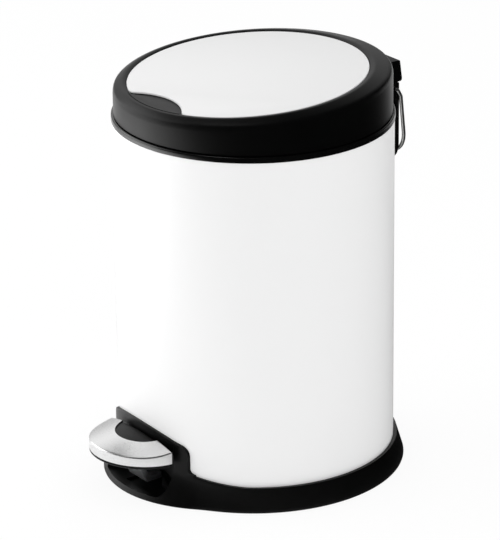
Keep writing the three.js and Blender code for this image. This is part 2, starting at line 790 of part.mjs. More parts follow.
function hingePin() {
    const half = knuckleHalfWidth - hingePinRadius - fitGap;
    return barX(hingePinRadius, -half, half, hingeY, hingeHeight);
}

function bracketScrew(x) {
    const seat = bodyRadius + bracketSeatDepth + fitGap;
    return join(barY(screwHead, x, seat, seat + screwHeadThick, bracketScrewHeight),
        barY(screwRadius, x, bodyInside - 2 * nutDepth, seat + screwHeadThick / 2, bracketScrewHeight));
}

function bracketNut(x) {
    const outerX = Math.abs(x) + nutAcross;
    const face = Math.sqrt(bodyInside ** 2 - outerX ** 2) - fitGap;
    return cut(barY(nutAcross, x, face - nutDepth, face, bracketScrewHeight, nutSides),
        barY(screwRadius + fitGap, x, 0, bodyRadius, bracketScrewHeight));
}

function carryHandle() {
    const side = knuckleHalfWidth + handleClear + handleRadius;
    const pivotPlace = bodyRadius + handleSetback;
    const low = handleHeight - handleDrop;
    const out = bodyRadius + handleOut;
    const kneeY = pivotPlace + handleKneeOut;
    const kneeZ = handleHeight - handleKneeDown;
    const half = (sign) => [
        new THREE.Vector3(sign * (knuckleHalfWidth - handleStub), pivotPlace, handleHeight),
        new THREE.Vector3(sign * side, pivotPlace, handleHeight),
        new THREE.Vector3(sign * side, kneeY, kneeZ),
        new THREE.Vector3(sign * side, out, low),
    ];
    const bend = handleRadius * handleBendShare;
    return wire([...half(1), ...half(-1).reverse()],
        [bend, 2 * bend, handleCorner, handleCorner, 2 * bend, bend], handleRadius);
}

// Lid

// Moves a point of the level lid to its place on the tilted one: the wall's foot stays level,
// the top leans up toward the hinge, and the top's ring sits a little toward the front
function leaned(geometry) {
    const places = geometry.attributes.position;
    const wallTop = lidPlane - shoulderDrop;
    for (let i = 0; i < places.count; i += 1) {
        const x = places.getX(i);
        const y = places.getY(i);
        const z = places.getZ(i);
        const height = Math.min(1, Math.max(0, (z - lidBottom) / (wallTop - lidBottom)));
        const inward = Math.min(1, Math.max(0, (lidRadius - Math.hypot(x, y)) / shoulderWidth));
        const shift = z > wallTop - lidWall ? lidShift * inward : 0;
        places.setXYZ(i, x, y - shift, z + lidSlope * (y - shift) * height);
    }
    return geometry;
}

function leanedTurn(profile, sides = bigSides) {
    const points = profile.map(([r, z]) => new THREE.Vector2(r, z));
    points.push(points[0].clone());
    const geometry = leaned(new THREE.LatheGeometry(points, sides).rotateX(Math.PI / 2));
    const body = solid(geometry);
    return body.volume() < 0 ? solid(flipped(geometry)) : body;
}

// Raises a level shape onto the lid's slope
function sheared(geometry) {
    const places = geometry.attributes.position;
    for (let i = 0; i < places.count; i += 1) {
        places.setZ(i, places.getZ(i) + lidSlope * places.getY(i));
    }
    return solid(geometry);
}

// Outline of the panel: a round disc with the finger notch cut from its front and both tips rounded
function panelOutline() {
    const frontEdge = -(panelRadius + lidShift);
    const centre = frontEdge + notchDepth - notchRadius;
    const apart = -lidShift - centre;
    const fromPanel = crossingTurn(panelRadius, notchRadius, apart);
    const fromNotch = crossingTurn(notchRadius, panelRadius, apart);
    const panelTrim = notchTip / panelRadius / deg;
    const notchTrim = notchTip / notchRadius / deg;
    const tipX = panelRadius * Math.sin(fromPanel * deg);
    const tipY = -lidShift - panelRadius * Math.cos(fromPanel * deg);
    const panelStart = fromPanel + panelTrim;
    const notchStart = fromNotch - notchTrim;
    const big = arc(0, -lidShift, panelRadius, -90 + panelStart, 270 - panelStart, bigSides);
    const small = arc(0, centre, notchRadius, 90 + notchStart, 90 - notchStart, midSides);
    return shapeOf([...big, ...eased(big[big.length - 1], [-tipX, tipY], small[0]), ...small,
        ...eased(small[small.length - 1], [tipX, tipY], big[0])]);
}

// Degrees from the line of centres to where two circles cross, seen from the first
function crossingTurn(first, second, apart) {
    return Math.acos((apart ** 2 + first ** 2 - second ** 2) / (2 * apart * first)) / deg;
}

// Points of a soft corner between two ends, without the ends
function eased(start, corner, end) {
    const points = [];
    for (let i = 1; i < arcSteps; i += 1) {
        const t = i / arcSteps;
        const along = (k) => start[k] * (1 - t) ** 2 + 2 * corner[k] * t * (1 - t) + end[k] * t ** 2;
        points.push([along(0), along(1)]);
    }
    return points;
}

function lidPanel() {
    return sheared(extruded(panelOutline(), panelThick).translate(0, 0, lidPlane - panelThick));
}

function lidShell() {
    const seat = -panelThick - fitGap;
    const under = seat - discThick;
    const lipIn = panelRadius + panelEdgeGap;
    const ridge = lidRadius - shoulderWidth / 2;
    const innerRadius = lidRadius - lidWall;
    const shoulderPoints = [
        [lidRadius, lidPlane - shoulderDrop],
        ...shoulderShares.map(([inward, down]) => [
            lidRadius - shoulderWidth * inward, lidPlane - shoulderDrop * down]),
        [ridge, lidPlane - ridgeDrop],
    ];
    const lipOut = lipIn + lipWidth;
    return leanedTurn([
        [0, lidPlane + seat], [lipIn, lidPlane + seat], [lipIn, lidPlane],
        [lipIn + lipWidth / 2, lidPlane + lipRise], [lipOut, lidPlane + lipRise],
        [(lipOut + ridge) / 2, lidPlane - ridgeDrop * ridgeShare],
        ...shoulderPoints.reverse(), [lidRadius, lidBottom], [innerRadius, lidBottom],
        [innerRadius, lidPlane - shoulderDrop - lidWall],
        [innerRadius - lidWall, lidPlane + under - lidWall / 2],
        [innerRadius - 2 * lidWall, lidPlane + under], [0, lidPlane + under],
    ]);
}

// Lid knuckles: two blocks behind the wall with a bridge over the bracket's eye
function lidKnuckles() {
    const top = hingeHeight + knuckleTop;
    const low = hingeHeight - knuckleBottom;
    const wallY = Math.sqrt(lidRadius ** 2 - knuckleHalfWidth ** 2) - lidWall / 2;
    const backTop = hingeY + knuckleBackTop;
    const backLow = hingeY + knuckleBackBottom;
    const corner = arc(backLow - knuckleCorner, low + knuckleCorner, knuckleCorner, 270, 360);
    const side = shapeOf([[wallY, low], ...corner, [backTop, top], [wallY, top]]);
    const bridge = shapeOf([[wallY, top - bridgeThick], [backTop + fitGap, top - bridgeThick], [backTop, top],
        [wallY, top]]);
    return join(alongX(side, knuckleSplit, knuckleHalfWidth), alongX(side, -knuckleHalfWidth, -knuckleSplit),
        alongX(bridge, -knuckleSplit, knuckleSplit));
}

function lugScrewPlaces() {
    const middle = lugX() + lugThick / 2;
    const y = rodY - lugFlangeLength / 2 - lugMargin;
    return [[middle - lugScrewSpacing / 2, y], [middle + lugScrewSpacing / 2, y]];
}

function lidCap() {
    const shell = lidShell();
    const lidHigh = lidPlane + lidSlope * lidRadius + overrun;
    const wallSpace = turned([[0, lidBottom - overrun], [lidRadius - lidWall / 2, lidBottom - overrun],
        [lidRadius - lidWall / 2, lidHigh], [0, lidHigh]]);
    const knuckles = cut(lidKnuckles(), wallSpace);
    const seat = lidPlane - panelThick - fitGap;
    const bosses = lugScrewPlaces().map(([x, y]) => barZ(lugBossRadius, x, y, lugBossHeight,
        seat + lidSlope * y - discThick / 2));
    const ribIn = panelRadius / 2;
    const ribLow = seat - discThick - ringRib;
    const ribs = leanedTurn([[ribIn, ribLow], [ribIn + ribThick, ribLow],
        [ribIn + ribThick, seat - discThick / 2], [ribIn, seat - discThick / 2]], midSides);
    const whole = join(shell, knuckles, ...bosses, ribs);
    const pinReach = knuckleHalfWidth - hingePinRadius;
    const pinHole = barX(hingePinRadius + runGap, -pinReach, pinReach, hingeY, hingeHeight);
    const notchHalf = rodRadius + rodNotchGap;
    const rodNotch = block(-notchHalf, notchHalf, lidRadius - 2 * lidWall, bodyRadius + overrun,
        lidBottom - overrun, lidBottom + rodRadius + overrun);
    const holes = lugScrewPlaces().map(([x, y]) => barZ(lugScrewRadius + fitGap, x, y,
        lugBossHeight - overrun, seat + lidSlope * y - discThick - fitGap));
    return cut(whole, pinHole, rodNotch, ...holes);
}

// Lug on the lid: the rod's hook slides in its slot as the lid turns

function lugX() {
    return rodBend + rodRadius / 2 - fitGap;
}

// Place of the hook, as the lid sees it, at a share of the lid's travel
function hookPlace(share) {
    const turn = lidTravel * deg * share;
    const y = rodY - hingeY;
    const z = hookHeight + rodStroke * share - hingeHeight;
    return [
        hingeY + y * Math.cos(turn) - z * Math.sin(turn),
        hingeHeight + y * Math.sin(turn) + z * Math.cos(turn),
    ];
}

function hookPath() {
    const places = [];
    for (let i = 0; i <= 2 * arcSteps; i += 1) places.push(hookPlace(i / (2 * arcSteps)));
    return places;
}

function liftLug() {
    const path = hookPath();
    const x0 = lugX();
    const flangeTop = lugBossHeight - fitGap;
    const flangeLow = flangeTop - lugFlangeThick;
    const reach = rodRadius + slotSlack + lugMargin;
    const rest = path[0];
    const end = path[path.length - 1];
    const flangeBack = lugScrewPlaces()[0][1] + lugFlangeLength / 2;
    const flangeFront = flangeBack - lugFlangeLength;
    const flangeMiddle = flangeLow + lugFlangeThick / 2;
    const plate = shapeOf([
        ...arc(end[0], end[1], reach, 180, lugEndTurn), ...arc(rest[0], rest[1], reach, 0, lugRestTurn),
        [flangeBack, flangeMiddle], [flangeFront, flangeMiddle],
    ]);
    const middle = x0 + lugThick / 2;
    const half = lugFlangeWidth / 2;
    const flange = block(middle - half, middle + half, flangeFront, flangeBack, flangeLow, flangeTop);
    const slot = path.map(([y, z]) => barX(rodRadius + slotSlack, x0 - overrun, x0 + lugThick + overrun, y, z));
    const holes = lugScrewPlaces().map(([x, y]) => barZ(lugScrewRadius + fitGap, x, y, flangeLow - overrun,
        lidPlane + overrun));
    return cut(join(alongX(plate, x0, x0 + lugThick), flange), ...slot, ...holes);
}

function lugScrew([x, y]) {
    const under = lugBossHeight - fitGap - lugFlangeThick - fitGap;
    return join(barZ(2 * lugScrewRadius, x, y, under - screwHeadThick, under),
        barZ(lugScrewRadius, x, y, under - screwHeadThick / 2, lugBossHeight + overrun));
}

// Push rod, with the two push-on washers that keep its bent ends in place

function pushRod() {
    const corners = [
        new THREE.Vector3(rodEndSpan, rodY, footHeight), new THREE.Vector3(0, rodY, footHeight),
        new THREE.Vector3(0, rodY, hookHeight), new THREE.Vector3(rodEndSpan, rodY, hookHeight),
    ];
    return wire(corners, [rodBend, rodBend], rodRadius);
}

function rodWasher(z) {
    const from = lugX() + lugThick + fitGap;
    return cut(barX(nutRadius, from, from + nutThick, rodY, z),
        barX(rodRadius + fitGap / 2, 0, rodEndSpan + overrun, rodY, z, wireSides));
}

// Lever

function pedalSeatHeight() {
    return pedalSkirtLow + seatRise;
}

function leverLine() {
    const kneeY = -(bodyRadius + kneeBack + leverThick);
    const climb = kneeY - kneeRun;
    return [
        [climb - pedalSeatLength, pedalSeatHeight()], [climb, pedalSeatHeight()], [kneeY, leverFrontHeight],
        [pivotY, leverFrontHeight], [rodY - leverTailLength, leverRearHeight],
        [rodY + leverTailPast, leverRearHeight],
    ];
}

function pedalLever() {
    const line = leverLine();
    const front = line[0][0];
    const back = line[line.length - 1][0];
    const plan = shapeOf([
        [-leverHalfWidth, front], [leverHalfWidth, front], [leverHalfWidth, 0],
        [leverTailHalfWidth, rodY - leverTailLength], [leverTailHalfWidth, back], [-leverTailHalfWidth, back],
        [-leverTailHalfWidth, rodY - leverTailLength], [-leverHalfWidth, 0],
    ]);
    const strip = alongX(band(line, leverThick), -leverHalfWidth - overrun, leverHalfWidth + overrun)
        .intersect(alongZ(plan, -overrun, pedalTopHeight));
    const inner = leverHalfWidth - leverThick;
    const earShape = tombstone(pivotY, pivotHeight, earRadius, leverFrontHeight, earRadius + leverThick);
    const pivotEar = (from) => alongX(earShape, from, from + leverThick);
    const tailEar = alongX(tombstone(rodY, footHeight, tailEarRadius, leverRearHeight, tailEarRadius),
        leverTailHalfWidth - leverThick, leverTailHalfWidth);
    const steepness = (line[1][1] - line[2][1]) / kneeRun;
    const flangeLine = [[line[1][0] + leverThick, line[1][1] - leverThick * steepness], line[2], line[3]];
    const flange = (from) => alongX(band(flangeLine, leverThick, leverFlange), from, from + leverThick);
    const whole = join(strip, flange(inner), flange(-leverHalfWidth),
        pivotEar(inner), pivotEar(-leverHalfWidth), tailEar);
    const screwHoles = pedalScrewPlaces().map(([x, y]) => barZ(lugScrewRadius + fitGap, x, y, pivotHeight,
        pedalTopHeight));
    return cut(whole, barX(pinRadius + fitGap, -2 * leverHalfWidth, 2 * leverHalfWidth, pivotY, pivotHeight),
        barX(rodRadius + slotSlack, 0, 2 * leverTailHalfWidth, rodY, footHeight), ...screwHoles);
}

function pedalScrewTip() {
    return pedalSeatHeight() + leverThick + 2 * screwHeadThick;
}

function pedalScrewPlaces() {
    const y = leverLine()[1][0] - pedalSeatLength / 2;
    return [[-pedalScrewSpacing / 2, y], [pedalScrewSpacing / 2, y]];
}

function pedalScrew([x, y]) {
    const under = pedalSeatHeight() - leverThick / 2 - fitGap;
    return join(barZ(2 * lugScrewRadius, x, y, under - screwHeadThick, under),
        barZ(lugScrewRadius, x, y, under - screwHeadThick / 2, pedalScrewTip()));
}

function pivotPin() {
    const half = leverHalfWidth + 2 * postThick + fitGap + clipThick + fitGap;
    return barX(pinRadius, -half, half, pivotY, pivotHeight);
}

function pivotClip(sign) {
    const from = leverHalfWidth + 2 * postThick + fitGap;
    const ends = [sign * from, sign * (from + clipThick)].sort((a, b) => a - b);
    return cut(barX(clipRadius, ends[0], ends[1], pivotY, pivotHeight),
        barX(pinRadius + fitGap / 2, ends[0] - overrun, ends[1] + overrun, pivotY, pivotHeight));
}

// Pedal: a steel cap pressed over a moulded pad

function pedalTop(x, y) {
    return pedalTopHeight - pedalSlope * (pedalBackY - y) - pedalCrown * x * x;
}

function pedalLow(y) {
    return pedalSkirtLow + pedalSkirtRise * (pedalBackY - y);
}

// One ring of the pedal's D-shaped outline, drawn in by inset and shrunk toward its middle
function pedalRing(inset, height, shrink = 1) {
    const radius = pedalRadius - inset;
    const back = pedalBackY - inset;
    const reach = Math.acos((pedalArcY - back) / radius);
    const steps = 2 * smallSides;
    const ring = [];
    const centreY = pedalArcY - pedalRadius / 2;
    for (let i = 0; i <= steps; i += 1) {
        const angle = -reach + 2 * reach * i / steps;
        ring.push([radius * Math.sin(angle), pedalArcY - radius * Math.cos(angle)]);
    }
    for (let i = 1; i < arcSteps; i += 1) {
        const share = i / arcSteps;
        ring.push([radius * Math.sin(reach) * (1 - 2 * share), back]);
    }
    return ring.map(([x, y]) => {
        const px = x * shrink;
        const py = centreY + (y - centreY) * shrink;
        return [px, py, height(px, py)];
    });
}

function pedalSolid(inset, sink, low, edge) {
    const rings = [pedalRing(inset, (x, y) => low(y))];
    for (let i = 0; i <= edgeSteps; i += 1) {
        const angle = i / edgeSteps * Math.PI / 2;
        rings.push(pedalRing(inset + edge * (1 - Math.cos(angle)),
            (x, y) => pedalTop(x, y) - sink - edge * (1 - Math.sin(angle))));
    }
    crownShares.forEach((shrink) => {
        rings.push(pedalRing(inset + edge, (x, y) => pedalTop(x, y) - sink, shrink));
    });
    return loft(rings);
}

function insertDisc(grow) {
    return barZ(insertRadius + grow, 0, -(bodyRadius - insertCentre), 0, pedalTopHeight + overrun, midSides);
}

function pedalCap() {
    const outer = pedalSolid(0, 0, (y) => pedalLow(y), pedalEdgeRound);
    const inner = pedalSolid(pedalSheet, pedalSheet, (y) => pedalLow(y) - overrun, pedalEdgeRound / 2);
    return cut(outer, inner, insertDisc(0));
}

function pedalPad() {
    const gap = pedalSheet + fitGap;
    const core = pedalSolid(gap, gap, (y) => pedalLow(y) - padLip, pedalEdgeRound / 2);
    const island = pedalSolid(gap, insertSink, (y) => pedalLow(y), pedalEdgeRound / 2)
        .intersect(insertDisc(-fitGap));
    const lip = loft([
        pedalRing(gap, (x, y) => pedalLow(y) - padLip),
        pedalRing(fitGap, (x, y) => pedalLow(y) - padLip / 2),
        pedalRing(fitGap, (x, y) => pedalLow(y) - fitGap),
    ]);
    const seatLow = pedalSeatHeight() + leverThick / 2 + fitGap;
    const front = leverLine()[0][0];
    const seatHalf = leverHalfWidth + 2 * fitGap;
    const seat = block(-seatHalf, seatHalf, front - 2 * fitGap, -bodyRadius, 0, seatLow);
    const hollow = pedalSolid(gap + padWall, gap + padWall, () => 0, pedalEdgeRound / 2);
    const mount = block(-leverHalfWidth, leverHalfWidth, front, front + pedalSeatLength, seatLow,
        pedalTopHeight);
    const holes = pedalScrewPlaces().map(([x, y]) => barZ(lugScrewRadius + fitGap, x, y, 0,
        pedalScrewTip() + fitGap));
    const shell = cut(join(core, island, lip), cut(hollow, mount));
    return cut(shell, seat, ...holes);
}

// Colours and finish of each material
function paint(color, roughness, metalness = 0) {
    return new THREE.MeshStandardMaterial({ color, roughness, metalness });
}

const whitePaint = paint(0xf2f2f0, 0.35);
const whitePanel = paint(0xe8e8e8, 0.4);
const blackPlastic = paint(0x161616, 0.5);
const innerPlastic = paint(0x1c1c1c, 0.6);
const rubber = paint(0x202020, 0.9);
const nylon = paint(0xd9d9d2, 0.5);
const brushedSteel = paint(0xcfcfcf, 0.35, 1);
const zincSteel = paint(0xb8bcc0, 0.4, 1);
const wireSteel = paint(0xc4c4c4, 0.3, 1);

const bin = new THREE.Group();

function place(name, body, material) {
    const mesh = new THREE.Mesh(geometryOf(body), material);
    mesh.name = name;
    bin.add(mesh);
}

place('base', base(), blackPlastic);
place('body_shell', bodyShell(), whitePaint);
place('top_collar', topCollar(), blackPlastic);
padPlaces().forEach((spot, i) => place(`foot_pad_${i + 1}`, footPad(spot), rubber));
place('mechanism_cover', mechanismCover(), innerPlastic);
place('rod_bush', rodBush(), nylon);
place('hinge_bracket', hingeBracket(), blackPlastic);
place('hinge_pin', hingePin(), zincSteel);
screwSides().forEach((x, i) => {
    place(`bracket_screw_${i + 1}`, bracketScrew(x), zincSteel);
    place(`bracket_nut_${i + 1}`, bracketNut(x), zincSteel);
});
place('pivot_pin', pivotPin(), zincSteel);
place('pivot_clip_left', pivotClip(-1), zincSteel);
place('pivot_clip_right', pivotClip(1), zincSteel);
place('lid_cap', lidCap(), blackPlastic);
place('lid_panel', lidPanel(), whitePanel);
place('lift_lug', liftLug(), innerPlastic);
lugScrewPlaces().forEach((spot, i) => place(`lug_screw_${i + 1}`, lugScrew(spot), zincSteel));
place('pedal_lever', pedalLever(), zincSteel);
place('pedal_pad', pedalPad(), blackPlastic);
place('pedal_cap', pedalCap(), brushedSteel);
pedalScrewPlaces().forEach((spot, i) => place(`pedal_screw_${i + 1}`, pedalScrew(spot), zincSteel));
place('push_rod', pushRod(), zincSteel);
place('rod_washer_low', rodWasher(footHeight), zincSteel);
place('rod_washer_high', rodWasher(hookHeight), zincSteel);
place('inner_bucket', innerBucket(), innerPlastic);
place('bucket_bail', bucketBail(), wireSteel);
place('carry_handle', carryHandle(), wireSteel);

export default bin;
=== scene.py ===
import json
import math

import bmesh
import bpy
from mathutils import Matrix, Vector


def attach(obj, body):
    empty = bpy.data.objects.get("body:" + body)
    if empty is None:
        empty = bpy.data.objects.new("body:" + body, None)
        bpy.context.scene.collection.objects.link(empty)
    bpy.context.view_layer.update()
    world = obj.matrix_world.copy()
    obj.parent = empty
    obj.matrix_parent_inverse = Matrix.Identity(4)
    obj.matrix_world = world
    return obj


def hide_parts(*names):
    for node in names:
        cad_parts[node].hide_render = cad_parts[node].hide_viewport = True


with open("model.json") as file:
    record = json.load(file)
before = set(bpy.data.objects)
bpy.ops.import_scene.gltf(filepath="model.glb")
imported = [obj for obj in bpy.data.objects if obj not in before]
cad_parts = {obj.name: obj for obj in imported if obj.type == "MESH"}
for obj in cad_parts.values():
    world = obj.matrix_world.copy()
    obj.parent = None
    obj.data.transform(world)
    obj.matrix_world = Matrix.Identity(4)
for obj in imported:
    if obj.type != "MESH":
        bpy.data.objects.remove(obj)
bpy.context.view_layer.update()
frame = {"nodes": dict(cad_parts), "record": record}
print("step can: frame loaded,", len(frame["nodes"]), "nodes")

mm = 0.001  # every size below is in millimetres


def hexColour(text):
    # sRGB hex to the linear colour that the shader wants
    parts = [int(text[i:i + 2], 16) / 255 for i in (1, 3, 5)]
    return [c / 12.92 if c <= 0.04045 else ((c + 0.055) / 1.055) ** 2.4 for c in parts] + [1.0]


def addNode(tree, kind, inputs=None, **settings):
    node = tree.nodes.new(kind)
    for name, value in settings.items():
        setattr(node, name, value)
    for key, value in (inputs or {}).items():
        if isinstance(value, bpy.types.NodeSocket):
            tree.links.new(value, node.inputs[key])
        else:
            node.inputs[key].default_value = value
    return node


def blankTree(owner):
    owner.use_nodes = True
    owner.node_tree.nodes.clear()
    return owner.node_tree


def placed(name, data):
    thing = bpy.data.objects.new(name, data)
    bpy.context.scene.collection.objects.link(thing)
    return thing


def newMaterial(name, look):
    # plain numbers go straight on the shader; patterns are linked to it afterwards
    material = bpy.data.materials.new(name)
    tree = blankTree(material)
    shader = addNode(tree, "ShaderNodeBsdfPrincipled", look)
    addNode(tree, "ShaderNodeOutputMaterial", {"Surface": shader.outputs["BSDF"]})
    where = addNode(tree, "ShaderNodeTexCoord").outputs["Object"]
    return material, tree, shader, where


def addPatterns(tree, shader, values, relief, strength, cloud, spread):
    # relief stands up from the surface; the cloud moves the roughness, and the colour where there are two
    bump = addNode(tree, "ShaderNodeBump", {
        "Height": relief, "Distance": values["depth"] * mm, "Strength": strength})
    tree.links.new(bump.outputs["Normal"], shader.inputs["Normal"])
    gloss = addNode(tree, "ShaderNodeMapRange", {
        "Value": cloud, "To Min": values["roughness"] - spread[0],
        "To Max": values["roughness"] + spread[1]})
    tree.links.new(gloss.outputs["Result"], shader.inputs["Roughness"])
    if "second" in values:
        shade = addNode(tree, "ShaderNodeMix", {
            "Factor": cloud, "A": hexColour(values["colour"]), "B": hexColour(values["second"])},
            data_type="RGBA")
        tree.links.new(shade.outputs["Result"], shader.inputs["Base Color"])


# powder-coated mild steel, sprayed and baked: even white, soft satin gloss, faint orange peel
powderCoat = {
    "colour": "#F8F8F8",
    "roughness": 0.36,
    "sheen": 0.3,
    "peelSize": 1.6,       # real peel is about 0.8 mm, drawn coarser so that it shows
    "depth": 0.012,
}


def makePowderCoat(name, values):
    material, tree, shader, where = newMaterial(name, {
        "Base Color": hexColour(values["colour"]), "IOR": 1.5, "Specular IOR Level": values["sheen"]})
    peel = addNode(tree, "ShaderNodeTexNoise", {
        "Vector": where, "Scale": 1 / (values["peelSize"] * mm), "Detail": 2.0, "Roughness": 0.45})
    cloud = addNode(tree, "ShaderNodeTexNoise", {"Vector": where, "Scale": 22.0, "Detail": 3.0})
    addPatterns(tree, shader, values, peel.outputs["Fac"], 0.6, cloud.outputs["Fac"], (0.03, 0.04))
    return material


# polypropylene moulded against a spark-eroded tool: dull black with a fine pebble grain
mouldedBlack = {
    "colour": "#030303",
    "second": "#070707",
    "roughness": 0.38,
    "sheen": 0.2,         # specular level: carbon-black filler keeps the surface dull
    "grain": 0.9,
    "depth": 0.03,
}


def makeMoulded(name, values):
    material, tree, shader, where = newMaterial(name, {
        "IOR": 1.49, "Specular IOR Level": values["sheen"]})
    cells = addNode(tree, "ShaderNodeTexVoronoi", {
        "Vector": where, "Scale": 1 / (values["grain"] * mm), "Randomness": 1.0})
    fine = addNode(tree, "ShaderNodeTexNoise", {
        "Vector": where, "Scale": 2 / (values["grain"] * mm), "Detail": 2.0})
    both = addNode(tree, "ShaderNodeMath", {
        0: cells.outputs["Distance"], 1: fine.outputs["Fac"]}, operation="MULTIPLY")
    cloud = addNode(tree, "ShaderNodeTexNoise", {"Vector": where, "Scale": 30.0, "Detail": 4.0})
    addPatterns(tree, shader, values, both.outputs["Value"], 0.5, cloud.outputs["Fac"], (0.05, 0.06))
    return material


# steel drawn and ground one way: hairlines run across the pedal, and stretch its highlights
brushedStainless = {
    "colour": "#DEDEDE",
    "second": "#EAEAEA",
    "roughness": 0.28,
    "lineWidth": 0.35,
    "lineLength": 30.0,
    "along": 0,            # 0 for lines along X, 1 along Y, 2 along Z
    "depth": 0.012,
}


def makeBrushed(name, values):
    material, tree, shader, where = newMaterial(name, {"Metallic": 1.0})
    stretch = [1 / (values["lineWidth"] * mm)] * 3
    stretch[values["along"]] = 1 / (values["lineLength"] * mm)
    lines = addNode(tree, "ShaderNodeMapping", {"Vector": where, "Scale": stretch})
    hair = addNode(tree, "ShaderNodeTexNoise", {
        "Vector": lines.outputs["Vector"], "Scale": 1.0, "Detail": 3.0}).outputs["Fac"]
    addPatterns(tree, shader, values, hair, 0.5, hair, (0.06, 0.08))
    return material


powderWhite = makePowderCoat("powderCoatedSteel", powderCoat)
panelWhite = makePowderCoat("sprayedPanelWhite", {**powderCoat, "colour": "#E0E0E0", "roughness": 0.44})
blackMoulded = makeMoulded("mouldedPolypropyleneBlack", mouldedBlack)
# acrylonitrile plastic from a polished tool: black and shiny, with hardly any grain
glossMoulded = makeMoulded("polishedAbsBlack", {
    "colour": "#040404", "second": "#070707", "roughness": 0.22,
    "sheen": 0.5, "grain": 1.2, "depth": 0.006})
# thin bucket moulding, a little greyer and duller than the outside
bucketMoulded = makeMoulded("bucketPolypropylene", {
    "colour": "#141414", "second": "#1C1C1C", "roughness": 0.5,
    "sheen": 0.3, "grain": 0.9, "depth": 0.03})
# natural nylon, waxy off-white
nylonNatural = makeMoulded("naturalNylon", {
    "colour": "#D6D3C8", "second": "#E2E0D8", "roughness": 0.45,
    "sheen": 0.5, "grain": 0.8, "depth": 0.01})
# cured rubber, dusty and without gloss
rubberBlack = makeMoulded("curedRubber", {
    "colour": "#151515", "second": "#222222", "roughness": 0.85,
    "sheen": 0.3, "grain": 1.0, "depth": 0.05})
pedalSteel = makeBrushed("brushedStainlessSteel", brushedStainless)
# cold-rolled strip with bright zinc plate
zincSteel = makeBrushed("zincPlatedSteel", {
    **brushedStainless, "colour": "#C2C5C7", "second": "#D8DADB", "roughness": 0.38,
    "lineWidth": 0.6, "along": 1})
# drawn spring wire, bright, with the die's fine lines along it
wireSteel = makeBrushed("drawnStainlessWire", {
    **brushedStainless, "colour": "#D6D6D4", "second": "#E6E6E4", "roughness": 0.36,
    "lineWidth": 0.5, "along": 2})
print("step can: materials ready")


def arcPoints(a, b, radius, start, end, steps=8):
    angles = [math.radians(start + (end - start) * i / steps) for i in range(steps + 1)]
    return [(a + radius * math.cos(t), b + radius * math.sin(t)) for t in angles]


def circle(a, b, radius, count=24, start=0.0):
    return arcPoints(a, b, radius, start, start + 360 - 360 / count, count - 1)


def rounded(corners, steps):
    # corners are (a, b, fillet), with 0 for a sharp one
    points = [Vector(corner[:2]) for corner in corners]
    made = []
    for i, here in enumerate(points):
        radius = corners[i][2]
        if radius == 0:
            made.append(tuple(here))
            continue
        back, ahead = points[i - 1] - here, points[(i + 1) % len(points)] - here
        reach = min(radius, 0.49 * back.length, 0.49 * ahead.length)
        back.normalize()
        ahead.normalize()
        for k in range(steps + 1):
            t = k / steps
            made.append(tuple(here + back * reach * (1 - t) ** 2 + ahead * reach * t ** 2))
    return made


def meshOf(name, build, material):
    work = bmesh.new()
    build(work)
    bmesh.ops.remove_doubles(work, verts=work.verts, dist=1e-7)
    bmesh.ops.recalc_face_normals(work, faces=work.faces)
    mesh = bpy.data.meshes.new(name)
    work.to_mesh(mesh)
    work.free()
    mesh.materials.append(material)
    piece = placed(name, mesh)
    smoothByAngle(piece, 35)
    return piece


def smoothByAngle(piece, degrees):
    mesh = piece.data
    mesh.shade_smooth()
    mesh.set_sharp_from_angle(angle=math.radians(degrees))


def ringed(name, rings, material=blackMoulded, caps=True):
    # rings of equal count, each a list of 3-D points in mm; caps close both ends
    def build(work):
        rows = [[work.verts.new(Vector(p) * mm) for p in ring] for ring in rings]
        count = len(rows[0])
        for low, high in zip(rows, rows[1:]):
            for i in range(count):
                j = (i + 1) % count
                work.faces.new((low[i], low[j], high[j], high[i]))
        if caps:
            work.faces.new(list(reversed(rows[0])))
            work.faces.new(rows[-1])
    return meshOf(name, build, material)


def alongX(a, b, c):
    return (c, a, b)


def alongY(a, b, c):
    return (a, c, b)


def alongZ(a, b, c):
    return (a, b, c)


def turned(name, profile, sides, material=blackMoulded, place=alongZ):
    # closed profile of (radius, height) turned about Z; radius 0 lies on the axis
    def build(work):
        columns = []
        for i in range(sides):
            turn = 2 * math.pi * i / sides
            columns.append([work.verts.new(Vector(place(r * math.sin(turn), -r * math.cos(turn), z)) * mm)
                            for r, z in profile])
        for i in range(sides):
            one, two = columns[i], columns[(i + 1) % sides]
            for k in range(len(profile)):
                m = (k + 1) % len(profile)
                if profile[k][0] == 0 and profile[m][0] == 0:
                    continue
                if profile[k][0] == 0:
                    work.faces.new((one[k], two[m], one[m]))
                elif profile[m][0] == 0:
                    work.faces.new((one[k], two[k], one[m]))
                else:
                    work.faces.new((one[k], two[k], two[m], one[m]))
    return meshOf(name, build, material)


def pipe(name, inner, outer, low, high, sides, material=blackMoulded, place=alongZ):
    profile = [(inner, low), (outer, low), (outer, high), (inner, high)]
    return turned(name, profile, sides, material, place)


def prism(name, outline, low, high, turn, material=blackMoulded):
    # outline of (a, b) pairs pushed from low to high; turn maps (a, b, c) to (x, y, z)
    return ringed(name, [[turn(a, b, c) for a, b in outline] for c in (low, high)], material)


def box(name, half, front, back, low, high):
    outline = [(-half, front), (half, front), (half, back), (-half, back)]
    return prism(name, outline, low, high, alongZ)


def applied(piece):
    # the evaluated mesh takes the place of the live modifiers
    graph = bpy.context.evaluated_depsgraph_get()
    mesh = bpy.data.meshes.new_from_object(piece.evaluated_get(graph))
    piece.modifiers.clear()
    piece.data = mesh


def combine(piece, tools, operation):
    # tools are solids that are used up by the cut or the join
    for tool in tools:
        change = piece.modifiers.new("work", "BOOLEAN")
        change.operation = operation
        change.solver = "EXACT"
        change.object = tool
        applied(piece)
        bpy.data.objects.remove(tool)
    return piece


def join(piece, *tools):
    return combine(piece, tools, "UNION")


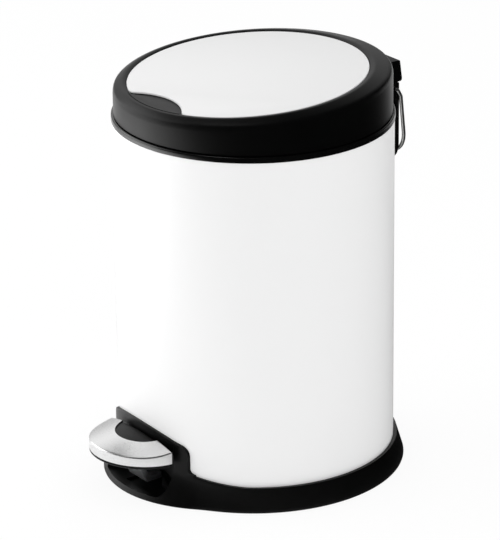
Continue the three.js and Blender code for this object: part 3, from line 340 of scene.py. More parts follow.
def cut(piece, *tools):
    return combine(piece, tools, "DIFFERENCE")


def trim(piece, *tools):
    return combine(piece, tools, "INTERSECT")


def softened(piece, width, angle):
    # rounds the sharp edges by a real width in mm
    change = piece.modifiers.new("edge", "BEVEL")
    change.width = width * mm
    change.segments = 3
    change.limit_method = "ANGLE"
    change.angle_limit = math.radians(angle)
    change.use_clamp_overlap = True
    change.harden_normals = False
    applied(piece)
    smoothByAngle(piece, 40)
    return piece


def copyOfNode(name, node, material, dissolve=0.6):
    # merged copy of a solid, its flat faces joined into whole ones
    mesh = frame["nodes"][node].data.copy()
    mesh.name = name
    work = bmesh.new()
    work.from_mesh(mesh)
    bmesh.ops.remove_doubles(work, verts=work.verts, dist=2e-6)
    bmesh.ops.dissolve_limit(work, angle_limit=math.radians(dissolve), verts=work.verts, edges=work.edges)
    work.to_mesh(mesh)
    work.free()
    mesh.materials.clear()
    mesh.materials.append(material)
    piece = placed(name, mesh)
    smoothByAngle(piece, 35)
    return piece


def settle(piece, body, slotName, *nodes):
    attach(piece, body)
    if nodes:
        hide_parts(*nodes)
    return piece


def runTree(name, mesh, tree, inputs):
    # sets each named input by its identifier, then bakes the result into a plain mesh
    piece = placed(name, mesh)
    change = piece.modifiers.new("nodes", "NODES")
    change.node_group = tree
    for item in tree.interface.items_tree:
        if item.item_type == "SOCKET" and item.in_out == "INPUT" and item.name in inputs:
            change[item.identifier] = inputs[item.name]
    applied(piece)
    return piece


def groupTree(name, **inputs):
    # a Geometry Nodes group with named inputs, each given by the kind of its socket
    tree = bpy.data.node_groups.new(name, "GeometryNodeTree")
    for label, kind in {"Geometry": "Geometry", **inputs}.items():
        tree.interface.new_socket(label, in_out="INPUT", socket_type="NodeSocket" + kind)
    tree.interface.new_socket("Geometry", in_out="OUTPUT", socket_type="NodeSocketGeometry")
    return tree, addNode(tree, "NodeGroupInput").outputs


def finishTree(tree, geometry, finish):
    real = addNode(tree, "GeometryNodeRealizeInstances", {"Geometry": geometry})
    painted = addNode(tree, "GeometryNodeSetMaterial", {
        "Geometry": real.outputs["Geometry"], "Material": finish})
    addNode(tree, "NodeGroupOutput", {"Geometry": painted.outputs["Geometry"]})
    return tree


def spokeTree():
    # equal blocks that stand round the axis like spokes
    tree, given = groupTree("spokes", Count="Int", Inner="Float", Outer="Float", Thick="Float",
                            Height="Float", Low="Float", Turn="Float", Finish="Material")
    sizes = {label: given[label] for label in ("Count", "Inner", "Outer", "Height", "Low", "Turn")}
    sizes.update(index=addNode(tree, "GeometryNodeInputIndex").outputs["Index"], half=0.5, circle=2 * math.pi)
    for label, operation, one, two in (
            ("length", "SUBTRACT", "Outer", "Inner"), ("reach", "ADD", "Outer", "Inner"),
            ("middle", "MULTIPLY", "reach", "half"), ("centre", "MULTIPLY", "Height", "half"),
            ("lift", "ADD", "Low", "centre"), ("step", "DIVIDE", "circle", "Count"),
            ("steps", "MULTIPLY", "step", "index"), ("spin", "ADD", "steps", "Turn")):
        sizes[label] = addNode(tree, "ShaderNodeMath", {
            0: sizes[one], 1: sizes[two]}, operation=operation).outputs["Value"]
    size = addNode(tree, "ShaderNodeCombineXYZ", {
        "X": sizes["length"], "Y": given["Thick"], "Z": given["Height"]})
    block = addNode(tree, "GeometryNodeMeshCube", {"Size": size.outputs["Vector"]})
    place = addNode(tree, "ShaderNodeCombineXYZ", {"X": sizes["middle"], "Z": sizes["lift"]})
    moved = addNode(tree, "GeometryNodeTransform", {
        "Geometry": block.outputs["Mesh"], "Translation": place.outputs["Vector"]})
    points = addNode(tree, "GeometryNodeMeshLine", {"Count": given["Count"], "Offset": (0.0, 0.0, 0.0)})
    spin = addNode(tree, "ShaderNodeCombineXYZ", {"Z": sizes["spin"]})
    spokes = addNode(tree, "GeometryNodeInstanceOnPoints", {
        "Points": points.outputs["Mesh"], "Instance": moved.outputs["Geometry"],
        "Rotation": spin.outputs["Vector"]})
    return finishTree(tree, spokes.outputs["Instances"], given["Finish"])


tube = {
    "radius": 100.0,
    "wall": 0.8,
    "low": 2.9,
    "high": 262.2,
    "sides": 192,
    "openingHalf": 41.1,
    "openingTop": 43.6,
    "openingLow": -5.0,
    "openingCorner": 8.0,
    "openingCut": (-120.0, -50.0),  # from ahead of the wall to short of the axis
}


def makeTube(values):
    radius, low, high = values["radius"], values["low"], values["high"]
    piece = pipe("tubeSheet", radius - values["wall"], radius, low, high, values["sides"], powderWhite)
    half, top, corner = values["openingHalf"], values["openingTop"], values["openingCorner"]
    outline = [(-half, values["openingLow"]), (half, values["openingLow"])]
    outline += arcPoints(half - corner, top - corner, corner, 0, 90)
    outline += arcPoints(-half + corner, top - corner, corner, 90, 180)
    cut(piece, prism("tubeOpening", outline, *values["openingCut"], alongY, powderWhite))
    smoothByAngle(piece, 30)
    return settle(piece, "can", "white_paint", "body_shell")


makeTube(tube)
print("step can: tube")


collar = {
    "out": 100.5,
    "low": 260.15,
    "high": 264.15,
    "mouth": 94.7,
    "mouthLip": 2.0,
    "skirtOut": 98.9,
    "skirtWall": 2.0,
    "skirtDepth": 10.0,
    "tubeTop": 262.5,
    "channel": 100.15,
    "sides": 192,
}


def makeCollar(values):
    low, high, out = values["low"], values["high"], values["skirtOut"]
    skirtIn, foot = out - values["skirtWall"], low - values["skirtDepth"]
    profile = rounded([
        (values["channel"], low, 0), (values["out"], low, 0.5), (values["out"], high, 1.3),
        (values["mouth"], high, 0.9), (values["mouth"], high - values["mouthLip"], 0.6), (skirtIn, low, 0),
        (skirtIn, foot, 0.4), (out, foot, 0.4), (out, values["tubeTop"], 0),
        (values["channel"], values["tubeTop"], 0)], 4)
    piece = turned("collarRing", profile, values["sides"], glossMoulded)
    return settle(piece, "can", "gloss_black_plastic", "top_collar")


makeCollar(collar)
print("step can: collar")


base = {
    "inside": 100.3,
    "edge": 103.1,
    "archEdge": 102.3,
    "foot": 107.7,
    "floor": 2.6,
    "ringTop": 17.2,
    "rise": 5.7,
    "riseShare": 0.3,
    "risePower": 1.5,
    "power": 1.0,           # 1 for a straight cone, more for a hollow flare
    "powerFront": 1.5,
    "footRound": 1.2,
    "lobeRadius": 80.0,
    "lobeCentre": -37.2,
    "lobeBlend": 1.6,
    "turn": -1.75,          # degrees: the ring and its arch sit a little turned under the tube
    "archHalf": 47.3,
    "archTop": 51.2,
    "archRadius": 112.0,
    "archCorner": 8.0,
    "archFillet": 4.0,
    "archReach": (-125.0, -50.0),   # from ahead of the foot to short of the axis
    "mouthHalf": 36.5,
    "mouthTop": 39.0,
    "mouthCorner": 8.5,
    "rimHeight": 4.2,
    "rimWidth": 2.0,
    "backWall": -92.4,
    "cutFrom": -130.0,      # ahead of the foot
    "wall": 2.0,
    "recessFloor": 0.7,
    "leverHalf": 12.8,
    "innerOut": 98.9,
    "coverSeat": 31.7,
    "floorOut": 100.6,
    "bayFront": -102.3,
    "window": (-97.5, -85.3, 14.0),     # front, back and top
    "recess": (-106.3, -74.5, 7.6),
    "pads": 4,
    "padCircle": 84.0,
    "padSeat": (7.3, 1.5),  # radius and depth
    "clear": 60.0,         # above all of the base
    "ribs": 6,
    "ribStart": 26.0,
    "ribThick": 1.8,
    "ribHeight": 9.0,
    "pivot": (-40.0, 16.9),
    "pivotHole": 2.3,
    "postFrom": 14.0,
    "postTo": 17.0,
    "postHalf": 6.0,
    "sides": 288,
}


def frontShare(values, angle):
    # 0 at the sides and back, 1 at the arch's own side
    end = values["riseShare"] * math.pi
    return max(0.0, end - angle) / (end - math.asin(values["archHalf"] / values["archEdge"]))


def baseTop(values, angle):
    return values["ringTop"] + values["rise"] * frontShare(values, angle) ** values["risePower"]


def baseFoot(values, angle):
    across = values["lobeCentre"] * math.sin(angle)
    along = -values["lobeCentre"] * math.cos(angle)
    lobe = along + math.sqrt(values["lobeRadius"] ** 2 - across ** 2)
    return (values["foot"] + lobe + math.hypot(values["foot"] - lobe, values["lobeBlend"])) / 2


def baseSection(values, turn):
    angle = min(turn, 2 * math.pi - turn)
    top, foot = baseTop(values, angle), baseFoot(values, angle)
    front, roundOff = min(1.0, frontShare(values, angle)), values["footRound"]
    edge = values["edge"] + (values["archEdge"] - values["edge"]) * front
    power = values["power"] + (values["powerFront"] - values["power"]) * front
    section = [(values["inside"], 0.0), (foot - roundOff, 0.0)]
    section += arcPoints(foot - roundOff, roundOff, roundOff, -72, -12, 3)
    for i in range(11):
        share = i / 10
        height = roundOff + share * (top - 1.6 * roundOff)
        section.append((edge + (foot - edge) * (1 - share) ** power, height))
    section += [(edge - 0.14, top - 0.3), (edge - 0.5, top), (values["inside"], top)]
    return [(r * math.sin(turn), -r * math.cos(turn), z) for r, z in section]


def archOutline(values):
    half, corner, radius = values["archHalf"], values["archCorner"], values["archRadius"]
    shoulder = half - corner
    fall = radius - math.sqrt(radius ** 2 - shoulder ** 2)
    lean = math.degrees(math.asin(shoulder / radius))
    foot = baseTop(values, math.asin(half / values["archEdge"]))
    fillet = values["archFillet"]
    side = arcPoints(half + fillet, foot + fillet, fillet, 270, 180, 6)
    side += arcPoints(shoulder, values["archTop"] - fall - corner, corner, 0, 90 - lean, 8)
    side += arcPoints(0, values["archTop"] - radius, radius, 90 - lean, 90, 16)[1:]
    mirrored = [(-x, z) for x, z in reversed(side[:-1])]
    return [(half + fillet, 0)] + side + mirrored + [(-half - fillet, 0)]


def mouthOutline(values, grow, low):
    half, top, corner = (values[key] + grow for key in ("mouthHalf", "mouthTop", "mouthCorner"))
    outline = arcPoints(half - corner, low + corner, corner, -90, 0)
    outline += arcPoints(half - corner, top - corner, corner, 0, 90)
    outline += arcPoints(-half + corner, top - corner, corner, 90, 180)
    outline += arcPoints(-half + corner, low + corner, corner, 180, 270)
    return outline


def makeBase(values):
    sides, floor, wall, clear = (values[key] for key in ("sides", "floor", "wall", "clear"))

    def disc(name, radius, high, centre=0.0):
        turns = [2 * math.pi * i / sides for i in range(sides)]
        outline = [(radius * math.sin(turn), centre - radius * math.cos(turn)) for turn in turns]
        return prism(name, outline, 0, high, alongZ)

    def mouth(name, grow, low, front, back):
        return prism(name, mouthOutline(values, grow, low), front, back, alongY)

    def aligned(piece):
        piece.data.transform(Matrix.Rotation(math.radians(values["turn"]), 4, "Z"))
        return piece

    sections = [baseSection(values, 2 * math.pi * i / sides) for i in range(sides)]
    piece = aligned(ringed("baseMoulding", sections + [sections[0]], caps=False))
    arch = prism("archPlate", archOutline(values), *values["archReach"], alongY)
    trim(arch, pipe("archShell", values["inside"], values["archEdge"], 0, clear, sides))
    bay = mouth("bayBlock", wall, 0, values["bayFront"], values["backWall"] + wall)
    trim(bay, disc("bayTrim", values["floorOut"], clear))
    inner = values["innerOut"] - wall
    join(piece, aligned(arch), disc("floorDisc", values["floorOut"], floor), aligned(bay),
         pipe("innerWall", inner, values["innerOut"], floor / 2, values["coverSeat"], sides))
    join(piece, runTree("floorRibs", bpy.data.meshes.new("floorRibs"), spokeTree(), {
        "Count": values["ribs"], "Inner": values["ribStart"] * mm, "Outer": (inner + 1) * mm,
        "Thick": values["ribThick"] * mm, "Height": values["ribHeight"] * mm, "Low": floor / 2 * mm,
        "Turn": math.pi / values["ribs"] - math.pi / 2, "Finish": blackMoulded}))
    (y, z), half = values["pivot"], values["postHalf"]
    post = [(y - half, floor / 2), (y + half, floor / 2)] + arcPoints(y, z, half, 0, 180, 16)
    for sign in (1, -1):
        low, high = sorted((sign * values["postFrom"], sign * values["postTo"]))
        join(piece, prism("pivotPost", post, low, high, alongX))
        cut(piece, prism("pivotBore", circle(y, z, values["pivotHole"]), low - 1, high + 1, alongX))
    mouthCut = mouth("mouthCut", 0, values["rimHeight"], values["cutFrom"], values["backWall"])
    lobe = mouth("lobeCut", 0, floor, values["cutFrom"], values["backWall"])
    trim(lobe, disc("lobeTrim", values["lobeRadius"] - values["rimWidth"], clear, values["lobeCentre"]))
    front, back, high = values["window"]
    ahead, behind, above = values["recess"]
    cut(piece, aligned(mouthCut), aligned(lobe),
        box("windowCut", values["leverHalf"], front, back, floor, high),
        box("recessCut", values["leverHalf"], ahead, behind, values["recessFloor"], above))
    radius, deep = values["padSeat"]
    for i in range(values["pads"]):
        angle = 2 * math.pi * (i + 0.5) / values["pads"]
        x, y = values["padCircle"] * math.cos(angle), values["padCircle"] * math.sin(angle)
        cut(piece, pipe("padCut", 0, radius, -2, deep, 48, place=lambda a, b, c: (a + x, b + y, c)))
    smoothByAngle(piece, 32)
    return settle(piece, "can", "black_plastic", "base")


makeBase(base)
print("step can: base")


lid = {
    "radius": 98.8,
    "bottom": 264.75,
    "wall": 2.2,
    "plane": 292.65,
    "slope": 0.0683,
    "roll": 0.014,         # the top sits a touch higher on the pedal's right
    "shift": 4.2,
    "shiftWidth": 8.3,
    "panelRadius": 85.3,
    "panelThick": 1.6,
    "panelGap": 0.5,
    "glue": 0.3,           # between the inset and its seat
    "discThick": 2.0,
    "lipRise": 0.75,
    "lipWidth": 3.2,
    "ridgeDrop": 2.4,
    "shoulderWidth": 4.6,
    "shoulderDrop": 6.2,
    "notchDepth": 18.2,
    "notchRadius": 47.0,
    "notchTip": 4.5,
    "scoopRise": 0.35,
    "bossAt": ((-2.425, 79.2), (14.575, 79.2)),
    "bossRadius": 4.1,
    "bossHole": 1.8,
    "bossLow": 286.0,
    "ringRib": (42.0, 43.8, 4.0),       # inner and outer radius, depth
    "rodNotch": (3.35, 94.0, 105.0, 250.0, 271.5),  # half width, front, back, low and high
    "sides": 192,
}


def lidLean(values):
    # the wall's foot stays level, the top leans up toward the hinge and sits a little forward
    wallTop = values["plane"] - values["shoulderDrop"]

    def place(x, y, z):
        height = min(1.0, max(0.0, (z - values["bottom"]) / (wallTop - values["bottom"])))
        inward = min(1.0, max(0.0, (values["radius"] - math.hypot(x, y)) / values["shiftWidth"]))
        shift = values["shift"] * inward if z > wallTop - values["wall"] else 0.0
        return (x, y - shift, z + (values["slope"] * (y - shift) + values["roll"] * x) * height)
    return place


def lidProfile(values):
    plane, radius = values["plane"], values["radius"]
    seat = plane - values["panelThick"] - values["glue"]
    under = seat - values["discThick"]
    lipIn = values["panelRadius"] + values["panelGap"]
    ridge = radius - values["shoulderWidth"] / 2
    inner = radius - values["wall"]
    foot = plane - values["shoulderDrop"]
    return rounded([
        (0, seat, 0), (lipIn, seat, 0), (lipIn, plane - 0.25, 0.3),
        (lipIn + values["lipWidth"], plane + values["lipRise"], 2.4),
        (ridge, plane - values["ridgeDrop"], 3.2),
        (radius - 0.9, plane - values["shoulderDrop"] * 0.55, 2.6),
        (radius, foot, 2.4), (radius, values["bottom"], 0.5), (inner, values["bottom"], 0.4),
        (inner, foot - values["wall"], 2.0), (inner - 2 * values["wall"], under, 2.0), (0, under, 0)], 5)


def meeting(apart, near, far):
    # angle at the first of two circles between their centres' line and the point where they meet
    return math.acos((apart ** 2 + near ** 2 - far ** 2) / (2 * apart * near))


def notchCentre(values):
    return -(values["panelRadius"] + values["shift"]) + values["notchDepth"] - values["notchRadius"]


def insetOutline(values):
    # round disc with the finger notch cut from its front, both tips rounded
    radius, notch, tipSize = values["panelRadius"], values["notchRadius"], values["notchTip"]
    centre = notchCentre(values)
    apart = -values["shift"] - centre
    fromInset = math.degrees(meeting(apart, radius, notch))
    fromNotch = math.degrees(meeting(apart, notch, radius))
    trimInset = math.degrees(tipSize / radius)
    trimNotch = math.degrees(tipSize / notch)
    tipX = radius * math.sin(math.radians(fromInset))
    tipY = -values["shift"] - radius * math.cos(math.radians(fromInset))
    first, last = fromInset + trimInset, fromNotch - trimNotch
    big = arcPoints(0, -values["shift"], radius, first - 90, 270 - first, 180)
    small = arcPoints(0, centre, notch, 90 + last, 90 - last, 48)
    left = easedCorner(big[-1], (-tipX, tipY), small[0])
    return big + left + small + easedCorner(small[-1], (tipX, tipY), big[0])


def easedCorner(start, corner, end, steps=8):
    points = []
    for i in range(1, steps):
        t = i / steps
        points.append(tuple(start[k] * (1 - t) ** 2 + 2 * corner[k] * t * (1 - t) + end[k] * t ** 2
                            for k in (0, 1)))
    return points


def leanZ(values):
    return lambda a, b, c: (a, b, c + values["plane"] + values["slope"] * b + values["roll"] * a)


def makeScoop(values):
    # the notch's floor rises from under the inset's cut edge to the lip
    shift, notch = values["shift"], values["notchRadius"] - 0.3
    inner = values["panelRadius"] + values["panelGap"] + 0.8
    centre = notchCentre(values)
    apart = -shift - centre
    reach = meeting(apart, inner, notch) - 0.01
    turn = meeting(apart, notch, inner) - 0.01
    deep = values["plane"] - values["panelThick"] - 0.1
    crest = values["plane"] + values["scoopRise"]
    columns, rows = 64, 12

    def spot(i, k, top):
        u, v = 2 * i / columns - 1, k / rows
        back = (notch * math.sin(turn * u), centre + notch * math.cos(turn * u))
        front = (inner * math.sin(reach * u), -shift - inner * math.cos(reach * u))
        x, y = (back[j] + (front[j] - back[j]) * v for j in (0, 1))
        ease = v * v * (3 - 2 * v)
        z = deep + (crest - deep) * ease if top else deep - 1.0
        return (x, y, z + values["slope"] * y + values["roll"] * x)

    def patch(work):
        upper, lower = [[[work.verts.new(Vector(spot(i, k, top)) * mm) for k in range(rows + 1)]
                         for i in range(columns + 1)] for top in (True, False)]
        for i in range(columns):
            for k in range(rows):
                work.faces.new((upper[i][k], upper[i][k + 1], upper[i + 1][k + 1], upper[i + 1][k]))
                work.faces.new((lower[i][k], lower[i + 1][k], lower[i + 1][k + 1], lower[i][k + 1]))
            for k in (0, rows):
                work.faces.new((upper[i][k], upper[i + 1][k], lower[i + 1][k], lower[i][k]))
        for k in range(rows):
            for i in (0, columns):
                work.faces.new((upper[i][k + 1], upper[i][k], lower[i][k], lower[i][k + 1]))
    return meshOf("fingerScoop", patch, blackMoulded)


def makeLid(values):
    lean = lidLean(values)
    piece = turned("lidMoulding", lidProfile(values), values["sides"], place=lean)
    join(piece, makeScoop(values))
    under = values["plane"] - values["panelThick"] - values["glue"] - values["discThick"]
    inner, outer, deep = values["ringRib"]
    join(piece, pipe("ringRib", inner, outer, under - deep, under + 1, 96, place=lean))
    low = values["bossLow"]
    for x, y in values["bossAt"]:
        high = under + values["slope"] * y + 1
        join(piece, prism("lugBoss", circle(x, y, values["bossRadius"]), low, high, alongZ))
        cut(piece, prism("lugHole", circle(x, y, values["bossHole"]), low - 5, high - 1.3, alongZ))
    cut(piece, box("rodSpace", *values["rodNotch"]))
    smoothByAngle(piece, 32)
    return settle(piece, "lid", "black_plastic", "lid_cap")


def makePanel(values):
    outline, thick = insetOutline(values), values["panelThick"]
    edge = [(0.3, thick), (0.0, thick - 0.3), (0.0, 0.5), (0.08, 0.25), (0.25, 0.08), (0.5, 0.0)]
    rings = [[leanZ(values)(a, b, -drop) for a, b in shrunk(outline, inset)] for inset, drop in edge]
    return settle(ringed("lidInset", rings, panelWhite), "lid", "white_panel", "lid_panel")


def shrunk(outline, inset):
    # every point moves inwards, square to the outline
    made = []
    for i, point in enumerate(outline):
        back, ahead = Vector(outline[i - 1]), Vector(outline[(i + 1) % len(outline)])
        along = (ahead - back).normalized()
        made.append((point[0] - along.y * inset, point[1] + along.x * inset))
    return made


hinge = {
    "y": 104.2,
    "z": 277.5,
    "half": 30.0,
    "split": 10.0,
    "top": 9.5,
    "bottom": 6.4,
    "backTop": 3.8,
    "backBottom": 6.0,
    "corner": 2.5,
    "front": 94.0,
    "bridge": 3.9,
    "pinHole": 2.0,
    "pinReach": 28.4,
    "wallSpace": (0, 98.6, 255, 300, 192),  # inside the lid's wall
}


def makeKnuckles(values):
    # two blocks that turn on the pin, joined by a bridge over the bracket's eye
    y, z, front = values["y"], values["z"], values["front"]
    top, low, back = z + values["top"], z - values["bottom"], y + values["backTop"]
    side = rounded([(front, low, 0), (y + values["backBottom"], low, values["corner"]),
                    (back, top, 0.9), (front, top, 0)], 6)
    under = top - values["bridge"]
    bridge = rounded([(front, under, 0), (back + 0.3, under, 0.6), (back, top, 0.9), (front, top, 0)], 4)

    def trimmed(name, outline, x0, x1):
        made = prism(name, outline, x0, x1, alongX)
        return cut(made, pipe("wallSpace", *values["wallSpace"]))

    half, split, reach = values["half"], values["split"], values["pinReach"]
    piece = trimmed("lidKnuckles", side, split, half)
    join(piece, trimmed("knuckleLeft", side, -half, -split))
    join(piece, trimmed("knuckleBridge", bridge, -split - 0.01, split + 0.01))
    softened(piece, 0.45, angle=50)
    cut(piece, prism("pinBore", circle(y, z, values["pinHole"]), -reach, reach, alongX))
    smoothByAngle(piece, 40)
    return settle(piece, "lid", "black_plastic")


makeLid(lid)
makePanel(lid)
makeKnuckles(hinge)
print("step can: lid")


bracket = copyOfNode("hingeBracket", "hinge_bracket", blackMoulded)
softened(settle(bracket, "can", "black_plastic", "hinge_bracket"), 0.5, angle=40)
print("step can: bracket")


def wirePath(corners, bends, steps=10):
    made = [Vector(corners[0])]
    for i in range(1, len(corners) - 1):
        here = Vector(corners[i])
        back = (Vector(corners[i - 1]) - here).normalized()
        ahead = (Vector(corners[i + 1]) - here).normalized()
        turn = math.pi - back.angle(ahead)
        if bends[i - 1] == 0 or turn < 0.01:
            made.append(here)
            continue
        reach = bends[i - 1] * math.tan(turn / 2)
        start = here + back * reach
        centre = here + (back + ahead).normalized() * (bends[i - 1] / math.cos(turn / 2))
        axis = (-back).cross(ahead).normalized()
        for k in range(steps + 1):
            made.append(centre + Matrix.Rotation(turn * k / steps, 3, axis) @ (start - centre))
    made.append(Vector(corners[-1]))
    return made


def wireTree():
    # a round section carried along the path, with its ends closed
    tree, given = groupTree("bentWire", Radius="Float", Sides="Int", Finish="Material")
    curve = addNode(tree, "GeometryNodeMeshToCurve", {"Mesh": given["Geometry"]})
    section = addNode(tree, "GeometryNodeCurvePrimitiveCircle", {
        "Resolution": given["Sides"], "Radius": given["Radius"]})
    skin = addNode(tree, "GeometryNodeCurveToMesh", {
        "Curve": curve.outputs["Curve"], "Profile Curve": section.outputs["Curve"], "Fill Caps": True})
    smooth = addNode(tree, "GeometryNodeSetShadeSmooth", {"Geometry": skin.outputs["Mesh"]})
    return finishTree(tree, smooth.outputs["Geometry"], given["Finish"])


wires = wireTree()


def makeWire(name, path, radius, material, body, slotName, node, sides=20):
    mesh = bpy.data.meshes.new(name)
    mesh.from_pydata([p * mm for p in path], [(i, i + 1) for i in range(len(path) - 1)], [])
    piece = runTree(name, mesh, wires, {"Radius": radius * mm, "Sides": sides, "Finish": material})
    smoothByAngle(piece, 50)
    return settle(piece, body, slotName, node)


handle = {
    "radius": 1.4,
    "pivotY": 104.5,
    "pivotZ": 265.8,
    "side": 31.85,
    "stub": 23.0,
    "kneeOut": 2.9,
    "kneeDown": 5.0,
    "drop": 50.8,
    "outY": 112.0,
    "bends": (1.68, 3.36, 18.0),    # at the stub, the knee and the lower corner
}


def handleSide(values, sign):
    y, z, side = values["pivotY"], values["pivotZ"], values["side"] * sign
    return [(values["stub"] * sign, y, z), (side, y, z),
            (side, y + values["kneeOut"], z - values["kneeDown"]),
            (side, values["outY"], z - values["drop"])]


handlePath = wirePath(handleSide(handle, 1) + handleSide(handle, -1)[::-1],
                      handle["bends"] + handle["bends"][::-1])
makeWire("carryWire", handlePath, handle["radius"], wireSteel, "handle", "wire_steel", "carry_handle")

bail = {
    "radius": 1.25,
    "z": 250.8,
    "side": 90.35,
    "stub": 85.65,
    "bend": 2.0,
    "steps": 64,
}


def bailPath(values):
    count, bend = values["steps"], values["bend"]
    route = [(values["stub"], 0, values["z"])]
    for i in range(count + 1):
        turn = math.pi * i / count
        route.append((values["side"] * math.cos(turn), -values["side"] * math.sin(turn), values["z"]))
    route.append((-values["stub"], 0, values["z"]))
    return wirePath(route, [bend] + [0] * (count - 1) + [bend])


makeWire("bucketWire", bailPath(bail), bail["radius"], wireSteel, "bail", "wire_steel", "bucket_bail", 14)
print("step can: wires")


bucket = {
    "low": 34.3,
    "top": 256.0,
    "bottomRadius": 80.0,
    "rim": 86.95,
    "bead": 2.4,
    "beadHeight": 3.4,
    "wall": 1.6,
    "bailZ": 250.8,
    "boss": (3.4, 1.1),      # radius, and reach past the rim
    "bossHole": (1.65, 6.0),
    "sides": 160,
}


def makeBucket(values):
    wall, top, low = values["wall"], values["top"], values["low"]
    bottom, rim, shoulder = values["bottomRadius"], values["rim"], top - values["beadHeight"]
    neck = rim - values["bead"]
    profile = rounded([
        (0, low, 0), (bottom - 1.9, low, 2.0), (bottom, low + 1.9, 2.0), (neck, shoulder, 0.4),
        (rim, shoulder + 0.8, 0.8), (rim, top, 1.0), (neck - wall * 0.75, top, 0.8),
        (bottom - wall, low + 3.5, 2.0), (bottom - 1.9 - wall, low + wall, 2.0), (0, low + wall, 0)], 4)
    piece = turned("bucketMoulding", profile, values["sides"], bucketMoulded)
    (boss, bossOut), (hole, holeOut) = values["boss"], values["bossHole"]
    for sign in (1, -1):
        ends = sorted((sign * (neck - wall / 2), sign * (rim + bossOut)))
        outline = circle(0, values["bailZ"], boss, 36)
        join(piece, prism("bailBoss", outline, *ends, alongX, bucketMoulded))
        ends = sorted((sign * (neck + wall / 2), sign * (rim + holeOut)))
        outline = circle(0, values["bailZ"], hole, start=7.5)
        cut(piece, prism("bailHole", outline, *ends, alongX, bucketMoulded))
    smoothByAngle(piece, 32)
    return settle(piece, "bucket", "inner_plastic", "inner_bucket")


makeBucket(bucket)
print("step can: bucket")


pedal = {
    "back": -102.4,
    "backHollow": 1.6,      # the back edge's ends lie nearer the can than its middle
    "centre": -100.5,
    "radius": 37.9,
    "top": 46.2,
    "slope": 0.149,
    "crown": 0.0043,
    "sheet": 1.0,
    "skirtLow": 31.2,
    "skirtRise": 0.055,
    "edge": 0.8,
    "insertRadius": 22.6,
    "insertCentre": -96.5,
    "insertSink": 0.9,
    "lip": 2.2,
    "gap": 0.3,
    "padWall": 2.6,
    # for the strip: half width, front, back, low and high
    "seat": (11.6, -132.5, -100, 0, 33.65),
    "mount": (11, -131.9, -116.9, 33.65, 60),
    "steps": 96,
}


def pedalTop(values, x, y):
    return values["top"] - values["slope"] * (values["back"] - y) - values["crown"] * x * x


def pedalLow(values, y):
    return values["skirtLow"] + values["skirtRise"] * (values["back"] - y)


def pedalRing(values, inset, height, shrink=1.0):
    # D outline with a shallow hollow along its back
    radius, back = values["radius"] - inset, values["back"] - inset
    corner = back + values["backHollow"]
    reach = math.acos((values["centre"] - corner) / radius)
    steps = values["steps"]
    ring = []
    for i in range(steps + 1):
        angle = -reach + 2 * reach * i / steps
        ring.append((radius * math.sin(angle), values["centre"] - radius * math.cos(angle)))
    end = radius * math.sin(reach)
    for i in range(1, 32):
        across = 1 - i / 16
        ring.append((end * across, back + values["backHollow"] * across * across))
    middle = values["centre"] - values["radius"] / 2
    ring = [(x * shrink, middle + (y - middle) * shrink) for x, y in ring]
    return [(x, y, height(x, y)) for x, y in ring]


def pedalBlock(name, values, inset, sink, low, edge, material=blackMoulded):
    def level(x, y):
        return pedalTop(values, x, y) - sink

    rings = [pedalRing(values, inset, lambda x, y: low(y))]
    for i in range(7):
        angle = i / 6 * math.pi / 2
        rings.append(pedalRing(values, inset + edge * (1 - math.cos(angle)),
                               lambda x, y, a=angle: level(x, y) - edge * (1 - math.sin(a))))
    for shrink in (0.94, 0.82, 0.68, 0.52, 0.34, 0.14):
        rings.append(pedalRing(values, inset + edge, level, shrink))
    return ringed(name, rings, material)


def insertDisc(name, values, grow, material=blackMoulded):
    outline = circle(0, values["insertCentre"], values["insertRadius"] + grow, 96)
    return prism(name, outline, 0, values["top"] + 5, alongZ, material)


def makePedalSteel(values):
    sheet, edge = values["sheet"], values["edge"]
    piece = pedalBlock("pedalCrescent", values, 0, 0, lambda y: pedalLow(values, y), edge, pedalSteel)
    inner = pedalBlock("crescentInside", values, sheet, sheet, lambda y: pedalLow(values, y) - 2,
                       edge / 2, pedalSteel)
    cut(piece, inner, insertDisc("insertCut", values, 0, pedalSteel))
    smoothByAngle(piece, 40)
    return settle(piece, "pedal", "brushed_steel", "pedal_cap")


def makePedalMoulding(values):
    # fills the steel from below, stands up through its cut-out and shows as a lip under its skirt
    spare, edge, lip = values["gap"], values["edge"] / 2, values["lip"]
    gap = values["sheet"] + spare

    def low(y):
        return pedalLow(values, y)

    piece = pedalBlock("pedalMoulding", values, gap, gap, lambda y: low(y) - lip, edge)
    island = pedalBlock("insertIsland", values, gap, values["insertSink"], low, 0.8)
    join(piece, trim(island, insertDisc("islandTrim", values, -spare)))
    steps = [(gap + 0.9, lip - 0.06), (0.5, lip - 0.06), (0.1, lip - 0.5), (0.1, 0.6), (0.4, spare),
             (gap + 0.9, spare)]
    rim = [pedalRing(values, inset, lambda x, y, d=drop: low(y) - d) for inset, drop in steps]
    join(piece, ringed("mouldingLip", rim))
    inside = gap + values["padWall"]
    hollow = pedalBlock("mouldingHollow", values, inside, inside, lambda y: 0.0, edge)
    cut(hollow, box("stripMount", *values["mount"]))
    cut(piece, hollow, box("stripSeat", *values["seat"]))
    smoothByAngle(piece, 40)
    return settle(piece, "pedal", "black_plastic", "pedal_pad")


makePedalSteel(pedal)
makePedalMoulding(pedal)
strip = copyOfNode("pedalStrip", "pedal_lever", zincSteel)
softened(settle(strip, "pedal", "zinc_steel", "pedal_lever"), 0.45, angle=40)
print("step can: pedal")


